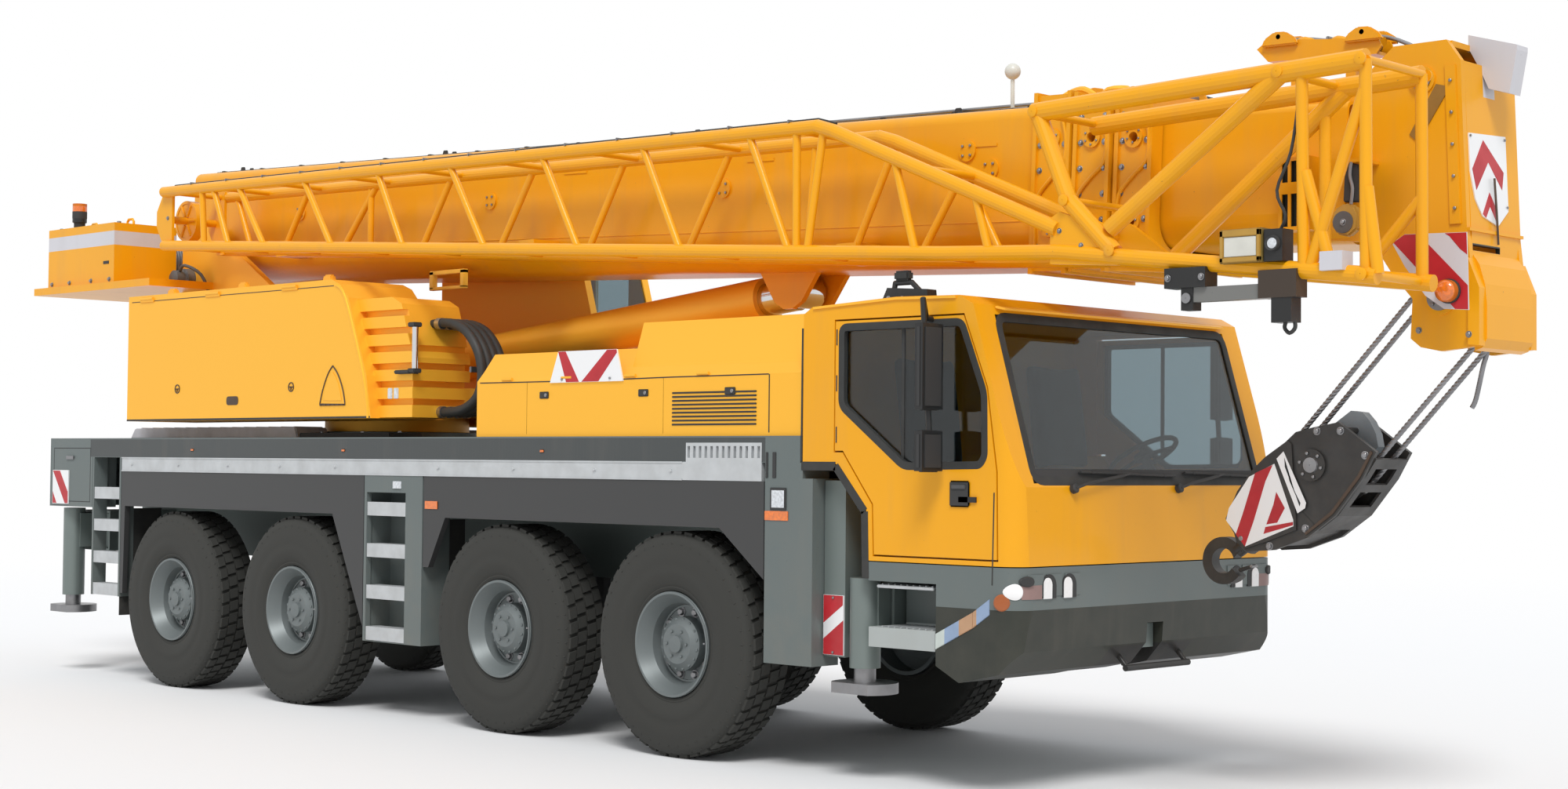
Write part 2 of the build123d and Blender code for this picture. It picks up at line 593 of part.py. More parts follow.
def make_hoist_winch():
    """Drum with two flanges on an axle between the counterweight boxes."""
    axle = disc_y(-1960, 3500, 45, (-520, 520))
    drum = disc_y(-1960, 3500, 190, (-440, 440))
    return fused([axle, drum] + [disc_y(-1960, 3500, 245, (y, y + 25)) for y in (-465, 440)])


CREW_CAB = ((1000, 2060), (2350, 2060), (2790, 2320), (2890, 2740), (2670, 3440), (2580, 3530), (1050, 3530),
            (1000, 3480))
CREW_CAVITY = ((1050, 2110), (2335, 2110), (2735, 2345), (2838, 2740), (2625, 3420), (2555, 3480), (1070, 3480),
               (1050, 3460))
CREW_DOOR = ((1120, 3440), (1120, 2150), (2080, 2150), (2080, 3440))
CREW_SIDES = (570, 1235)
CREW_MIDDLE = sum(CREW_SIDES) / 2
CREW_GLASS_HALF = 270
CREW_SCREENS = (((2882, 2760), (2684, 3390)), ((2798, 2350), (2882, 2690)))


def make_crew_cab():
    """Crane operator's cab: hollow, open at the door, with screen openings in front and a seat."""
    shell = slab(CREW_CAB, CREW_SIDES) - slab(CREW_CAVITY, (CREW_SIDES[0] + 40, CREW_SIDES[1] - 40))
    shell = shell - pane(CREW_DOOR, 30, (CREW_SIDES[1] - 45, CREW_SIDES[1] + 5))
    shell = shell - block((2160, 2560), (CREW_SIDES[1] - 45, CREW_SIDES[1] + 5), (2500, 3380))
    for foot, head in CREW_SCREENS:
        shell = shell - Pos(0, CREW_MIDDLE, 0) * leaning(foot, head, 60, -80, 0, CREW_GLASS_HALF)
    seat = block((1350, 1850), (680, 1130), (2400, 2520)) + block((1500, 1700), (800, 1010), (2110, 2400))
    return shell + seat + block((1260, 1350), (680, 1130), (2400, 3150))


def make_crew_glass():
    """Fixed panes of the operator's cab."""
    panes = []
    for foot, head in CREW_SCREENS:
        panes.append(Pos(0, CREW_MIDDLE, 0) * leaning(foot, head, -8, -18, 2, CREW_GLASS_HALF - 2))
    panes.append(block((2162, 2558), (CREW_SIDES[1] - 25, CREW_SIDES[1] - 15), (2502, 3378)))
    return fused(panes)


save("slew_frame", make_slew_frame())
save("upper_hoods", make_upper_hoods())
save("tail_ballast", make_tail_ballast())
save("hoist_winch", make_hoist_winch())
save("crew_cab", make_crew_cab())
save("crew_cab_glass", make_crew_glass())
save("crew_door", pane(CREW_DOOR, 0, (CREW_SIDES[1] + GAP, HALF - 4)))


# ---------------------------------------------------------------- luffing cylinder
def along_cylinder(distance):
    """Point on the cylinder's axis at a distance from its base pin."""
    run = hypot(CYLINDER_EYE[0] - CYLINDER_BASE[0], CYLINDER_EYE[1] - CYLINDER_BASE[1])
    part = distance / run
    return (CYLINDER_BASE[0] + part * (CYLINDER_EYE[0] - CYLINDER_BASE[0]), 0,
            CYLINDER_BASE[1] + part * (CYLINDER_EYE[1] - CYLINDER_BASE[1]))


CYLINDER_LONG = hypot(CYLINDER_EYE[0] - CYLINDER_BASE[0], CYLINDER_EYE[1] - CYLINDER_BASE[1])
BARREL_END = CYLINDER_LONG - 330
eye = disc_y(*CYLINDER_BASE, 120, (-95, 95)) - disc_y(*CYLINDER_BASE, 59, (-100, 100))
barrel = bar(along_cylinder(115), along_cylinder(BARREL_END), BARREL_RADIUS)
barrel = barrel - bar(along_cylinder(260), along_cylinder(BARREL_END + 5), 111)
save("luff_barrel", barrel + eye)
rod = bar(along_cylinder(290), along_cylinder(CYLINDER_LONG - 60), 110)
rod_eye = disc_y(*CYLINDER_EYE, 105, (-90, 90)) - disc_y(*CYLINDER_EYE, 56, (-95, 95))
save("luff_rod", rod - disc_y(*CYLINDER_EYE, 100, (-95, 95)) + rod_eye)


# ---------------------------------------------------------------- boom
on_boom = Location((BOOM_CENTRE[0], 0, BOOM_CENTRE[1]), (0, BOOM_DIP, 0))
BOOM_WALL = 16
TOP_RADIUS = 70
BOTTOM_RADIUS = 250
SECTION_STEP = 30
# along the boom from its middle; columns: section, rear end, front end, collar rear, collar front, collar margin
SECTIONS = (
    ("base", -5400, 3790, 3540, 3800, 42),
    ("tele_1", -4750, 4050, 3815, 4065, 62),
    ("tele_2", -4450, 4310, 4080, 4330, 68),
    ("head", -4150, 5450, None, None, 0),
)
BASE_SIZE = (900, 910)
COLLAR_RIB = 26
COLLAR_PROUD = 16
COLLAR_BOSS = 58
# wear-pad covers on the base section's sides, in (station, height)
BASE_PADS = ((7500, 3500), (7330, 3620), (5300, 3560), (2900, 3660), (500, 3750))
HEAD_SHEAVE = (10240, 2640)
HEAD_TOP_SHEAVE = (10140, 3740)
HEAD_INNER = 250
HEAD_OUTER = 290
SHEAVE_RADIUS = 197
HEAD_PLATE = ((9250, 3000), (9860, 2940), (9980, 2760), (10085, 2640), (10075, 2440), (10130, 2395),
              (10240, 2372), (10455, 2395), (10455, 2680), (10395, 2830), (10380, 2960), (10345, 3820),
              (10270, 3930), (9980, 3930), (9700, 3700), (9250, 3700))
HEAD_FLANGE = ((10395, 2400), (10455, 2395), (10455, 2680), (10395, 2830))
HEAD_FACE = ((10345, 2900), (10385, 2900), (10345, 3820), (10305, 3820))
# rounded cover over the front of the lower sheaves, outside then inside
HEAD_COVER = ((10385, 2975), (10385, 2860), (10425, 2800), (10455, 2700), (10465, 2600), (10465, 2430),
              (10440, 2385), (10400, 2372), (10400, 2392), (10420, 2400), (10444, 2440), (10444, 2600), (10436, 2694),
              (10408, 2788), (10365, 2845), (10355, 2975))
HEAD_LAMP = ((10270, 3985), (HEAD_TIP, 3905), (HEAD_TIP, 3880), (10490, 3665), (10380, 3700), (10335, 3800),
             (10270, 3920))
SIDE_SIGN = ((10060, 2910), (10130, 2950), (10460, 2940), (10470, 2560), (10340, 2570),
             (10240, 2640), (10130, 2790))
SIDE_SIGN_Y = (-452, -444)
GUIDE_CHEEK = ((9040, 4060), (9110, 3985), (9760, 3950), (9790, 3990), (9770, 4030), (9110, 4105))
GUIDE_FLOOR = ((9110, 3985), (9760, 3950), (9760, 3968), (9110, 4003))
GUIDE_ROLLERS = ((9190, 4052), (9690, 4016))
# columns: station of a post under the guide, height of its top
GUIDE_POSTS = ((9270, 3985), (9600, 3968))


def boom_profile(margin):
    """Boom cross-section: the base section's size less a margin all round, deeper-rounded below."""
    sketch = Rectangle(BASE_SIZE[0] - 2 * margin, BASE_SIZE[1] - 2 * margin)
    sketch = fillet(sketch.vertices().filter_by(lambda v: v.Y > 0), max(TOP_RADIUS - margin / 3, 20))
    low = sketch.vertices().filter_by(lambda v: v.Y < -BASE_SIZE[1] / 4)
    return fillet(low, BOTTOM_RADIUS - margin)


def boom_run(margin, rear, front):
    """Solid run of the boom section between two distances along the boom."""
    return extrude(Pos(rear, 0, 0) * (Plane.YZ * boom_profile(margin)), amount=front - rear)


def boom_section(index):
    """One hollow boom section with its collar, in the boom's own directions."""
    _, rear, front, collar_rear, collar_front, swell = SECTIONS[index]
    margin = index * SECTION_STEP
    section = boom_run(margin, rear, front)
    if collar_rear:
        width = BASE_SIZE[0] - 2 * margin + 2 * swell
        height = BASE_SIZE[1] - 2 * margin + 2 * swell
        middle = (collar_rear + collar_front) / 2
        section = section + Pos(middle, 0, 0) * Box(collar_front - collar_rear, width, height)
        for x in (collar_rear, collar_front - COLLAR_RIB):
            rib = Box(COLLAR_RIB, width + 2 * COLLAR_PROUD, height + 2 * COLLAR_PROUD)
            section = section + Pos(x + COLLAR_RIB / 2, 0, 0) * rib
        for z in (-height / 4, height / 4):
            reach = width / 2 + COLLAR_PROUD
            section = section + bar((middle, -reach, z), (middle, reach, z), COLLAR_BOSS)
            section = section - bar((middle, -width, z), (middle, width, z), COLLAR_BOSS / 2)
    return section - boom_run(margin + BOOM_WALL, rear - 5, max(front, collar_front or 0) + 5)


def make_boom_base():
    """Base section with its pivot bosses and the cylinder lugs below."""
    base = on_boom * boom_section(0)
    base = base + pair(disc_y(*PIVOT, 170, (-490, -BASE_SIZE[0] / 2 + BOOM_WALL)))
    base = base - disc_y(*PIVOT, PIN_RADIUS + 1, (-600, 600))
    lug = slab([(5330, 3060), (5480, 2830), (5560, 2785), (5640, 2785), (5720, 2830), (5870, 3030)], (-160, -118))
    cheek = slab([(5330, 3040), (5870, 3020), (5870, 3090), (5330, 3090)], (-160, 160))
    pin = disc_y(*CYLINDER_EYE, 54, (-160, 160))
    bore = on_boom * boom_run(BOOM_WALL, -2000, 3000)
    for x, z in BASE_PADS:
        base = base + pair(disc_y(x, z, 62, (-BASE_SIZE[0] / 2 - 14, -BASE_SIZE[0] / 2 + BOOM_WALL / 2)))
    return base + ((pair(lug) + cheek + pin) - bore)


def make_boom_head():
    """Innermost section with the head: side plates, ties, cover, rope guide, lamp and side sign."""
    section = on_boom * boom_section(3)
    plate_and_flange = slab(HEAD_PLATE, (-HEAD_OUTER, -HEAD_INNER))
    plate_and_flange = plate_and_flange + slab(HEAD_FLANGE, (-HEAD_OUTER - 22, -HEAD_OUTER))
    face = slab(HEAD_FACE, (-HEAD_INNER, HEAD_INNER))
    ledge = block((10340, 10396), (-HEAD_OUTER, HEAD_OUTER), (2966, 2982))
    cover = slab(HEAD_COVER, (-HEAD_INNER, HEAD_INNER)) - block((10330, 10410), (-240, 50), (2872, 2906))
    roof = slab([(9980, 3900), (10280, 3900), (10280, 3930), (9980, 3930)], (-HEAD_INNER, HEAD_INNER))
    pins = [disc_y(*HEAD_SHEAVE, 50, (-HEAD_INNER, HEAD_INNER)),
            disc_y(*HEAD_TOP_SHEAVE, 45, (-HEAD_INNER, HEAD_INNER)),
            pair(disc_y(*HEAD_SHEAVE, 88, (-HEAD_OUTER - 14, -HEAD_OUTER))),
            pair(disc_y(*HEAD_TOP_SHEAVE, 70, (-HEAD_OUTER - 12, -HEAD_OUTER)))]
    lamp = slab(HEAD_LAMP, (-60, 60))
    sign = slab(SIDE_SIGN, SIDE_SIGN_Y) + block((10200, 10380), (SIDE_SIGN_Y[1] - 2, -HEAD_OUTER), (2720, 2780))
    sign = sign + disc_y(10370, 2655, 55, (-500, SIDE_SIGN_Y[0]))
    guide = pair(slab(GUIDE_CHEEK, (-70, -55))) + slab(GUIDE_FLOOR, (-56, 56))
    for x, top in GUIDE_POSTS:
        guide = guide + block((x - 30, x + 30), (-50, 50), (3655, top))
    grating = block((9420, 9600), (-470, -350), (3010, 3390))
    for z in ((3030, 3200), (3260, 3370)):
        for x in (9440, 9493, 9546):
            grating = grating - block((x, x + 36), (-475, -440), z)
    return fused([section, pair(plate_and_flange), face, ledge, cover, roof, lamp, sign, guide, grating] + pins)


def make_head_sheaves():
    """Rope sheaves of the head: two below, two above and two in the rope guide."""
    pieces = []
    for y in (-75, 75):
        ring = disc_y(*HEAD_SHEAVE, SHEAVE_RADIUS, (y - 24, y + 24)) - disc_y(*HEAD_SHEAVE, 51, (y - 30, y + 30))
        pieces.append(ring)
        ring = disc_y(*HEAD_TOP_SHEAVE, 150, (y - 24, y + 24)) - disc_y(*HEAD_TOP_SHEAVE, 46, (y - 30, y + 30))
        pieces.append(ring)
    for x, z in GUIDE_ROLLERS:
        pieces.append(disc_y(x, z, 42, (-54, 54)))
    return fused(pieces)


save("boom_base", make_boom_base())
save("boom_tele_1", on_boom * boom_section(1))
save("boom_tele_2", on_boom * boom_section(2))
save("boom_head", make_boom_head())
save("head_sheaves", make_head_sheaves())

# ---------------------------------------------------------------- lattice jib folded on the right side
JIB_NEAR = -1185
JIB_FAR = -650
CHORD = 42
CHORD_SIDES = 16
LACE = 24
TIE = 21
# chords in (station, height)
LOWER_CHORD = ((-320, 3480), (7750, 2940), (8550, 2900), (10390, 2680))
UPPER_CHORD = ((-340, 3910), (6810, 3730), (6940, 3690), (8540, 3020))
# lacing of each side frame: stations at the upper, then at the lower chord
NEAR_LACING = ((230, 270), (390, 620), (740, 1110), (1610, 1990), (2530, 2850), (3360, 3760), (4340, 4720),
               (5310, 5670), (6250, 6590), (6645, 6650), (6860, 6735), (7400, 7560), (7980, 8080))
FAR_LACING = ((-120, 110), (900, 560), (1715, 1715), (1800, 1340), (2700, 2330), (3620, 3230), (4560, 4180),
              (5560, 5150), (6300, 6230), (6950, 6600), (7460, 7130), (7460, 7760))
# foot frames at the boom head, in (station, height): thick bars with their radii, then round braces
NEAR_FOOT = ((((8380, 3649), (10330, 3702)), 52), (((8870, 3000), (9880, 3690)), 46),
             (((8405, 3648), (8610, 3165), (8900, 2880)), 46))
NEAR_BRACES = (((9985, 3690), (10000, 2730)), ((10005, 3200), (10150, 2710)), ((10320, 3560), (10030, 2730)),
               ((10325, 3700), (10330, 2690)), ((10335, 3100), (10390, 2690)))
FAR_FOOT = ((((8380, 3639), (10330, 3694)), 52), (((8920, 2900), (9930, 3680)), 46))
FAR_BRACES = (((9800, 3590), (9800, 2750)), ((10325, 3700), (10330, 2690)), ((10330, 3100), (9990, 2735)))
GUSSET = ((8500, 3080), (8560, 3110), (8640, 3080), (8930, 2870), (8930, 2810), (8500, 2840))
# crosswise bars of the foot frame, in (station, height)
FOOT_TIES = ((8410, 3645), (8610, 3165), (9880, 3690), (10330, 3700), (10330, 2690), (8900, 2880))
TIE_STATIONS = (-300, 390, 1110, 1990, 2850, 3760, 4720, 5670, 6590, 7560, 8540)
# floodlight and camera boxes on the foot frame, and the rest that hangs below it: x, y and z limits
FOOT_BOXES = (((9580, 9810), (-1260, -1150), (2775, 2940)), ((9818, 9920), (-1250, -1150), (2775, 2930)),
              ((10120, 10240), (-1250, -1150), (2715, 2805)), ((9240, 9480), (-1240, -1130), (2672, 2772)),
              ((9330, 9400), (-1225, -1150), (2560, 2680)), ((9360, 9800), (-1220, -1160), (2600, 2672)),
              ((9780, 9990), (-1240, -1140), (2600, 2735)), ((9850, 9960), (-1235, -1145), (2480, 2605)))
BRACE = 30
TIP_SHEAVE = (-380, 3700)


def chord_height(chord, station):
    """Height of a chord at a station."""
    for (x0, z0), (x1, z1) in zip(chord, chord[1:]):
        if x0 <= station <= x1:
            return z0 + (z1 - z0) * (station - x0) / (x1 - x0)
    return chord[-1][1]


def faceted_run(points, y, radius):
    """Many-sided bar mitred along (station, height) points at a distance across."""
    route = [Vector(x, y, z) for x, z in points]
    across = Plane(origin=route[0], x_dir=(0, 1, 0), z_dir=route[1] - route[0])
    section = across * RegularPolygon(radius, CHORD_SIDES)
    return sweep(section, path=Polyline(*route), transition=Transition.RIGHT)


def make_side_frame(y, lacing, foot, braces):
    """Bars of one laced side frame at a distance across."""
    bars = []
    for chord in (LOWER_CHORD, UPPER_CHORD):
        bars.append(faceted_run(chord, y, CHORD))
    for high, low in lacing:
        top, foot_point = (high, y, chord_height(UPPER_CHORD, high)), (low, y, chord_height(LOWER_CHORD, low))
        bars.append(bar(top, foot_point, LACE))
    for points, radius in foot:
        bars.append(faceted_run(points, y, radius))
    for (x0, z0), (x1, z1) in braces:
        bars.append(bar((x0, y, z0), (x1, y, z1), BRACE))
    bars.append(slab(GUSSET, (y - 16, y + 16)))
    return bars


def make_lattice_jib():
    """Two laced frames joined across, with the tip sheave behind and brackets to the boom."""
    bars = make_side_frame(JIB_NEAR, NEAR_LACING, NEAR_FOOT, NEAR_BRACES)
    bars = bars + make_side_frame(JIB_FAR, FAR_LACING, FAR_FOOT, FAR_BRACES)
    for station in TIE_STATIONS:
        for chord in (LOWER_CHORD, UPPER_CHORD):
            z = chord_height(chord, station)
            bars.append(bar((station, JIB_NEAR, z), (station, JIB_FAR, z), TIE))
    for x, z in FOOT_TIES:
        bars.append(bar((x, JIB_NEAR, z), (x, JIB_FAR, z), TIE))
    middle = (JIB_NEAR + JIB_FAR) / 2
    tip = disc_y(*TIP_SHEAVE, 160, (middle - 35, middle + 35))
    tip = tip + disc_y(*TIP_SHEAVE, 30, (JIB_NEAR + 30, JIB_FAR - 30))
    cheeks = [slab([(-340, 3440), (-240, 3440), (-240, 3950), (-340, 3950), (-470, 3760), (-470, 3640)],
                   (y - 12, y + 12)) for y in (JIB_NEAR + 30, JIB_FAR - 30)]
    brackets = [block((x, x + 160), (JIB_FAR - 30, -BASE_SIZE[0] / 2), (z, z + 120))
                for x, z in ((500, 3380), (3500, 3200), (6500, 2990))]
    boxes = [block(*limits) for limits in FOOT_BOXES]
    return fused(bars + [tip] + cheeks + brackets + boxes)


# ---------------------------------------------------------------- hook block on its rope falls
FALL_DIRECTION = (-0.683, -0.730)
BLOCK_SHEAVE = 1150
ROPE_RADIUS = 11
ROPE_OFFSET = SHEAVE_RADIUS + ROPE_RADIUS + 4


def on_falls(along, across):
    """Point in (station, height) at a distance down the falls and a distance to their front side."""
    dx, dz = FALL_DIRECTION
    return (HEAD_SHEAVE[0] + along * dx - across * dz, HEAD_SHEAVE[1] + along * dz + across * dx)


# hook block outlines: distance down the falls, distance to their front side
BLOCK_CHEEK = ((845, 225), (880, -40), (1000, -130), (1090, -190), (1300, -215), (1500, -235), (1700, -170),
               (1770, -50), (1760, 30), (1640, 140), (1450, 240), (1250, 280), (1000, 262))
BLOCK_CORE = ((1370, -190), (1500, -215), (1690, -150), (1750, -40), (1740, 20), (1620, 130), (1440, 220),
              (1370, 235))
BLOCK_FRONT = ((880, 242), (1000, 262), (1250, 282), (1380, 256), (1380, 244), (1250, 268), (1000, 248),
               (880, 232))
# slots in the front cover: limits down the falls and across the machine
FRONT_SLOTS = (((940, 1040), (-110, 110)), ((1090, 1190), (-110, 110)))
ROPE_GUARD = ((960, -120), (845, -95), (805, -40), (810, 25), (835, 95), (875, 150), (960, 160))
BLOCK_SIGN = ((1410, -240), (1310, -230), (1150, -190), (1150, -160), (1420, 130), (1460, 170), (1640, 80),
              (1760, 10), (1720, -180), (1560, -230))
HOOK_MIDDLE = (1975, -110)


def falls_slab(outline, y):
    """Plate with an outline in distances along and across the falls, between two distances across."""
    return slab([on_falls(*point) for point in outline], y)


def make_hook_block():
    """Cheeked block with two sheaves, its hook, and the four rope falls from the head."""
    front = falls_slab(BLOCK_FRONT, (-165, 165))
    for (near, far), y in FRONT_SLOTS:
        front = front - falls_slab(((near, 215), (far, 215), (far, 300), (near, 300)), y)
    pieces = [pair(falls_slab(BLOCK_CHEEK, (-190, -160))), falls_slab(BLOCK_CORE, (-165, 165)), front,
              falls_slab(ROPE_GUARD, (-34, 34)), falls_slab(BLOCK_SIGN, (-202, -188)),
              disc_y(*on_falls(BLOCK_SHEAVE, 0), 50, (-165, 165)), disc_y(*on_falls(900, 0), 16, (-165, 165)),
              pair(disc_y(*on_falls(BLOCK_SHEAVE, 0), 85, (-206, -188)))]
    for y in (-75, 75):
        pieces.append(disc_y(*on_falls(BLOCK_SHEAVE, 0), ROPE_OFFSET - ROPE_RADIUS + 3, (y - 24, y + 24)))
        for across in (-ROPE_OFFSET, ROPE_OFFSET):
            start, end = on_falls(0, across), on_falls(BLOCK_SHEAVE, across)
            pieces.append(bar((start[0], y, start[1]), (end[0], y, end[1]), ROPE_RADIUS))
    shank = on_falls(1730, -60), on_falls(1880, -95)
    pieces.append(bar((shank[0][0], 0, shank[0][1]), (shank[1][0], 0, shank[1][1]), 42))
    bowl = disc_y(*on_falls(*HOOK_MIDDLE), 130, (-38, 38)) - disc_y(*on_falls(*HOOK_MIDDLE), 70, (-45, 45))
    mouth = falls_slab([(HOOK_MIDDLE[0] + along, HOOK_MIDDLE[1] + across) for along, across in
                        ((-120, 40), (-120, 160), (-10, 160), (-10, 40))], (-45, 45))
    pieces.append(bowl - mouth)
    return fused(pieces)


save("lattice_jib", make_lattice_jib())
save("hook_block", make_hook_block())
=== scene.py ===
"""Dresses a four-axle mobile crane: finishes for its solids, and the small pieces that ride on them."""

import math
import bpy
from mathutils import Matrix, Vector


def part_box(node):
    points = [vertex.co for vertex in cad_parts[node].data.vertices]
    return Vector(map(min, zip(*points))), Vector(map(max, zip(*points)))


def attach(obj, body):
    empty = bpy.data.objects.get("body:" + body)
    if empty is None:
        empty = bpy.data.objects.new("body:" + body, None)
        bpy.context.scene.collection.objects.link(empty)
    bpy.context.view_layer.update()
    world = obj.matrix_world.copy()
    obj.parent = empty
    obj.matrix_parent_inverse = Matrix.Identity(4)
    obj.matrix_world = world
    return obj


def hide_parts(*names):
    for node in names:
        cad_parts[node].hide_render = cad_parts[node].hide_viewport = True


bl_info = {
    "name": "Mobile Crane Dressing",
    "version": (1, 0, 0),
    "blender": (4, 5, 0),
    "location": "3D View > Sidebar > Crane",
    "description": "Builds the finishes, tyres, trim, signs, rigging and stage of a four-axle mobile crane",
    "category": "Add Mesh",
}

import bmesh
import bpy
from bpy.props import FloatProperty, FloatVectorProperty, IntProperty, PointerProperty
from mathutils import Matrix, Vector

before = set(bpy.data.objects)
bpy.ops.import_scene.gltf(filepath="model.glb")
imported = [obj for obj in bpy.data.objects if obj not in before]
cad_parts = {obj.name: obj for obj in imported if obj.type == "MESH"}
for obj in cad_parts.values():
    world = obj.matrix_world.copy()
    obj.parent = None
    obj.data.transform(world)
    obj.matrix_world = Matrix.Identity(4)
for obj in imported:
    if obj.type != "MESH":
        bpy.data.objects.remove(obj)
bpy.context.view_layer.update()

# X of a point is its distance ahead of the rearmost axle less this, in metres
SHIFT = (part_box("tyre_4_right")[0].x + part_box("tyre_4_right")[1].x) / 2
HALF = -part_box("body_panels")[0].y
SIDES = (("right", -1), ("left", 1))


def colour_property(name, description, value):
    """Colour setting with an alpha, as the shader sockets want it."""
    return FloatVectorProperty(name=name, description=description, subtype="COLOR", size=4, min=0.0, max=1.0,
                               default=(*value, 1.0))


def length_property(name, description, value):
    """Length setting in metres."""
    return FloatProperty(name=name, description=description, default=value, min=0.0, unit="LENGTH")


class CraneColours(bpy.types.PropertyGroup):
    """Colours of the crane's paints, plastics and lamps."""

    yellow: colour_property("Crane yellow", "Paint of the cab, hoods and boom", (0.84, 0.37, 0.004))
    grey: colour_property("Carrier grey", "Paint of the carrier's frame and boxes", (0.128, 0.152, 0.148))
    dark: colour_property("Fender grey", "Dark paint of the fenders and axles", (0.024, 0.025, 0.025))
    silver: colour_property("Step metal", "Bare metal of the rails and ladder treads", (0.56, 0.58, 0.59))
    rim: colour_property("Rim grey", "Paint of the wheels", (0.165, 0.19, 0.195))
    rubber: colour_property("Tyre rubber", "Rubber of the tyres and seals", (0.026, 0.027, 0.026))
    plastic: colour_property("Black plastic", "Mirrors, handles and trim", (0.018, 0.018, 0.019))
    glass: colour_property("Glass tint", "Tint of the cab windows", (0.36, 0.44, 0.47))
    red: colour_property("Sign red", "Red of the warning stripes", (0.5, 0.012, 0.022))
    white: colour_property("Sign white", "White of the warning stripes", (0.86, 0.86, 0.86))
    amber: colour_property("Amber lens", "Indicator, reflector and beacon lenses", (0.9, 0.2, 0.012))
    clear: colour_property("Clear lens", "Headlamp lenses", (0.72, 0.75, 0.78))
    steel: colour_property("Steel", "Ropes, pins and sheaves", (0.3, 0.3, 0.31))
    fabric: colour_property("Seat cloth", "Cloth of the seats", (0.035, 0.04, 0.05))
    dust: colour_property("Road dust", "Dust on the lower pieces", (0.235, 0.205, 0.165))


class CraneSizes(bpy.types.PropertyGroup):
    """Sizes of the repeated small pieces."""

    bolt: length_property("Bolt radius", "Radius across a bolt head's flats", 0.011)
    nut: length_property("Wheel nut radius", "Radius of a wheel nut", 0.019)
    seal: length_property("Seal width", "Width of the rubber round the windows", 0.026)
    tread: length_property("Tread depth", "Depth of the grooves between the tread blocks", 0.016)
    tread_blocks: IntProperty(name="Tread blocks", description="Blocks round one tyre", default=46, min=12,
                              max=90)
    rope: length_property("Rope radius", "Radius of the hoist rope", 0.011)


class CraneStage(bpy.types.PropertyGroup):
    """Floor, lamps and camera."""

    floor: colour_property("Floor", "Colour of the floor", (0.86, 0.86, 0.86))
    sky: FloatProperty(name="Sky light", description="Strength of the even light from all round",
                       default=0.62, min=0.0)
    sun: FloatProperty(name="Key light", description="Strength of the soft key light", default=2.15, min=0.0)
    camera: FloatVectorProperty(name="Camera place", description="Where the camera stands",
                                subtype="TRANSLATION", unit="LENGTH", default=(11.602, -10.59, 1.779))
    turn: FloatVectorProperty(name="Camera turn", description="Pitch, roll and heading of the camera",
                              subtype="EULER", default=tuple(math.radians(a) for a in (91.79, 0.504, 43.92)))
    lens: FloatProperty(name="Lens", description="Focal length on a 36 mm wide sensor, in millimetres",
                        default=51.43, min=10.0)


# ---------------------------------------------------------------- shared effects
# what an effect for a whole surface gives
SURFACE = (("Colour", "Color"), ("Roughness", "Float"), ("Height", "Float"))


def effect(name, inputs, outputs):
    """Empty shader node group with named sockets, and its two end nodes."""
    group = bpy.data.node_groups.new(name, "ShaderNodeTree")
    for label, kind, value in inputs:
        socket = group.interface.new_socket(label, in_out="INPUT", socket_type=f"NodeSocket{kind}")
        socket.default_value = value
    for label, kind in outputs:
        group.interface.new_socket(label, in_out="OUTPUT", socket_type=f"NodeSocket{kind}")
    return group, group.nodes.new("NodeGroupInput"), group.nodes.new("NodeGroupOutput")


def math_node(group, operation, *values, clamp=False):
    """Math node whose inputs are sockets or plain numbers; gives its output socket."""
    node = group.nodes.new("ShaderNodeMath")
    node.operation = operation
    node.use_clamp = clamp
    for slot, value in enumerate(values):
        if isinstance(value, (int, float)):
            node.inputs[slot].default_value = value
        else:
            group.links.new(value, node.inputs[slot])
    return node.outputs[0]


def times(group, first, second, clamp=False):
    """Product of two sockets or numbers."""
    return math_node(group, "MULTIPLY", first, second, clamp=clamp)


def plus(group, first, second, clamp=False):
    """Sum of two sockets or numbers."""
    return math_node(group, "ADD", first, second, clamp=clamp)


def object_axes(group):
    """The object's own coordinates, split into X, Y and Z."""
    place = group.nodes.new("ShaderNodeTexCoord").outputs["Object"]
    split = group.nodes.new("ShaderNodeSeparateXYZ")
    group.links.new(place, split.inputs["Vector"])
    return split.outputs


def mix_node(group, factor, first, second, blend="MIX"):
    """Colour mix whose inputs are sockets, colours or numbers; gives its output socket."""
    node = group.nodes.new("ShaderNodeMix")
    node.data_type = "RGBA"
    node.blend_type = blend
    for socket, value in ((node.inputs[0], factor), (node.inputs[6], first), (node.inputs[7], second)):
        if isinstance(value, (int, float, tuple)):
            socket.default_value = value
        else:
            group.links.new(value, socket)
    return node.outputs[2]


def noise_node(group, scale, detail=4.0, stretch=(1.0, 1.0, 1.0), roughness=0.55):
    """Noise over the object's own coordinates; gives its value socket."""
    place = group.nodes.new("ShaderNodeTexCoord").outputs["Object"]
    if stretch != (1.0, 1.0, 1.0):
        mapping = group.nodes.new("ShaderNodeMapping")
        mapping.inputs["Scale"].default_value = stretch
        group.links.new(place, mapping.inputs["Vector"])
        place = mapping.outputs["Vector"]
    node = group.nodes.new("ShaderNodeTexNoise")
    node.inputs["Detail"].default_value = detail
    node.inputs["Roughness"].default_value = roughness
    group.links.new(place, node.inputs["Vector"])
    if isinstance(scale, (int, float)):
        node.inputs["Scale"].default_value = scale
    else:
        group.links.new(scale, node.inputs["Scale"])
    return node.outputs["Fac"]


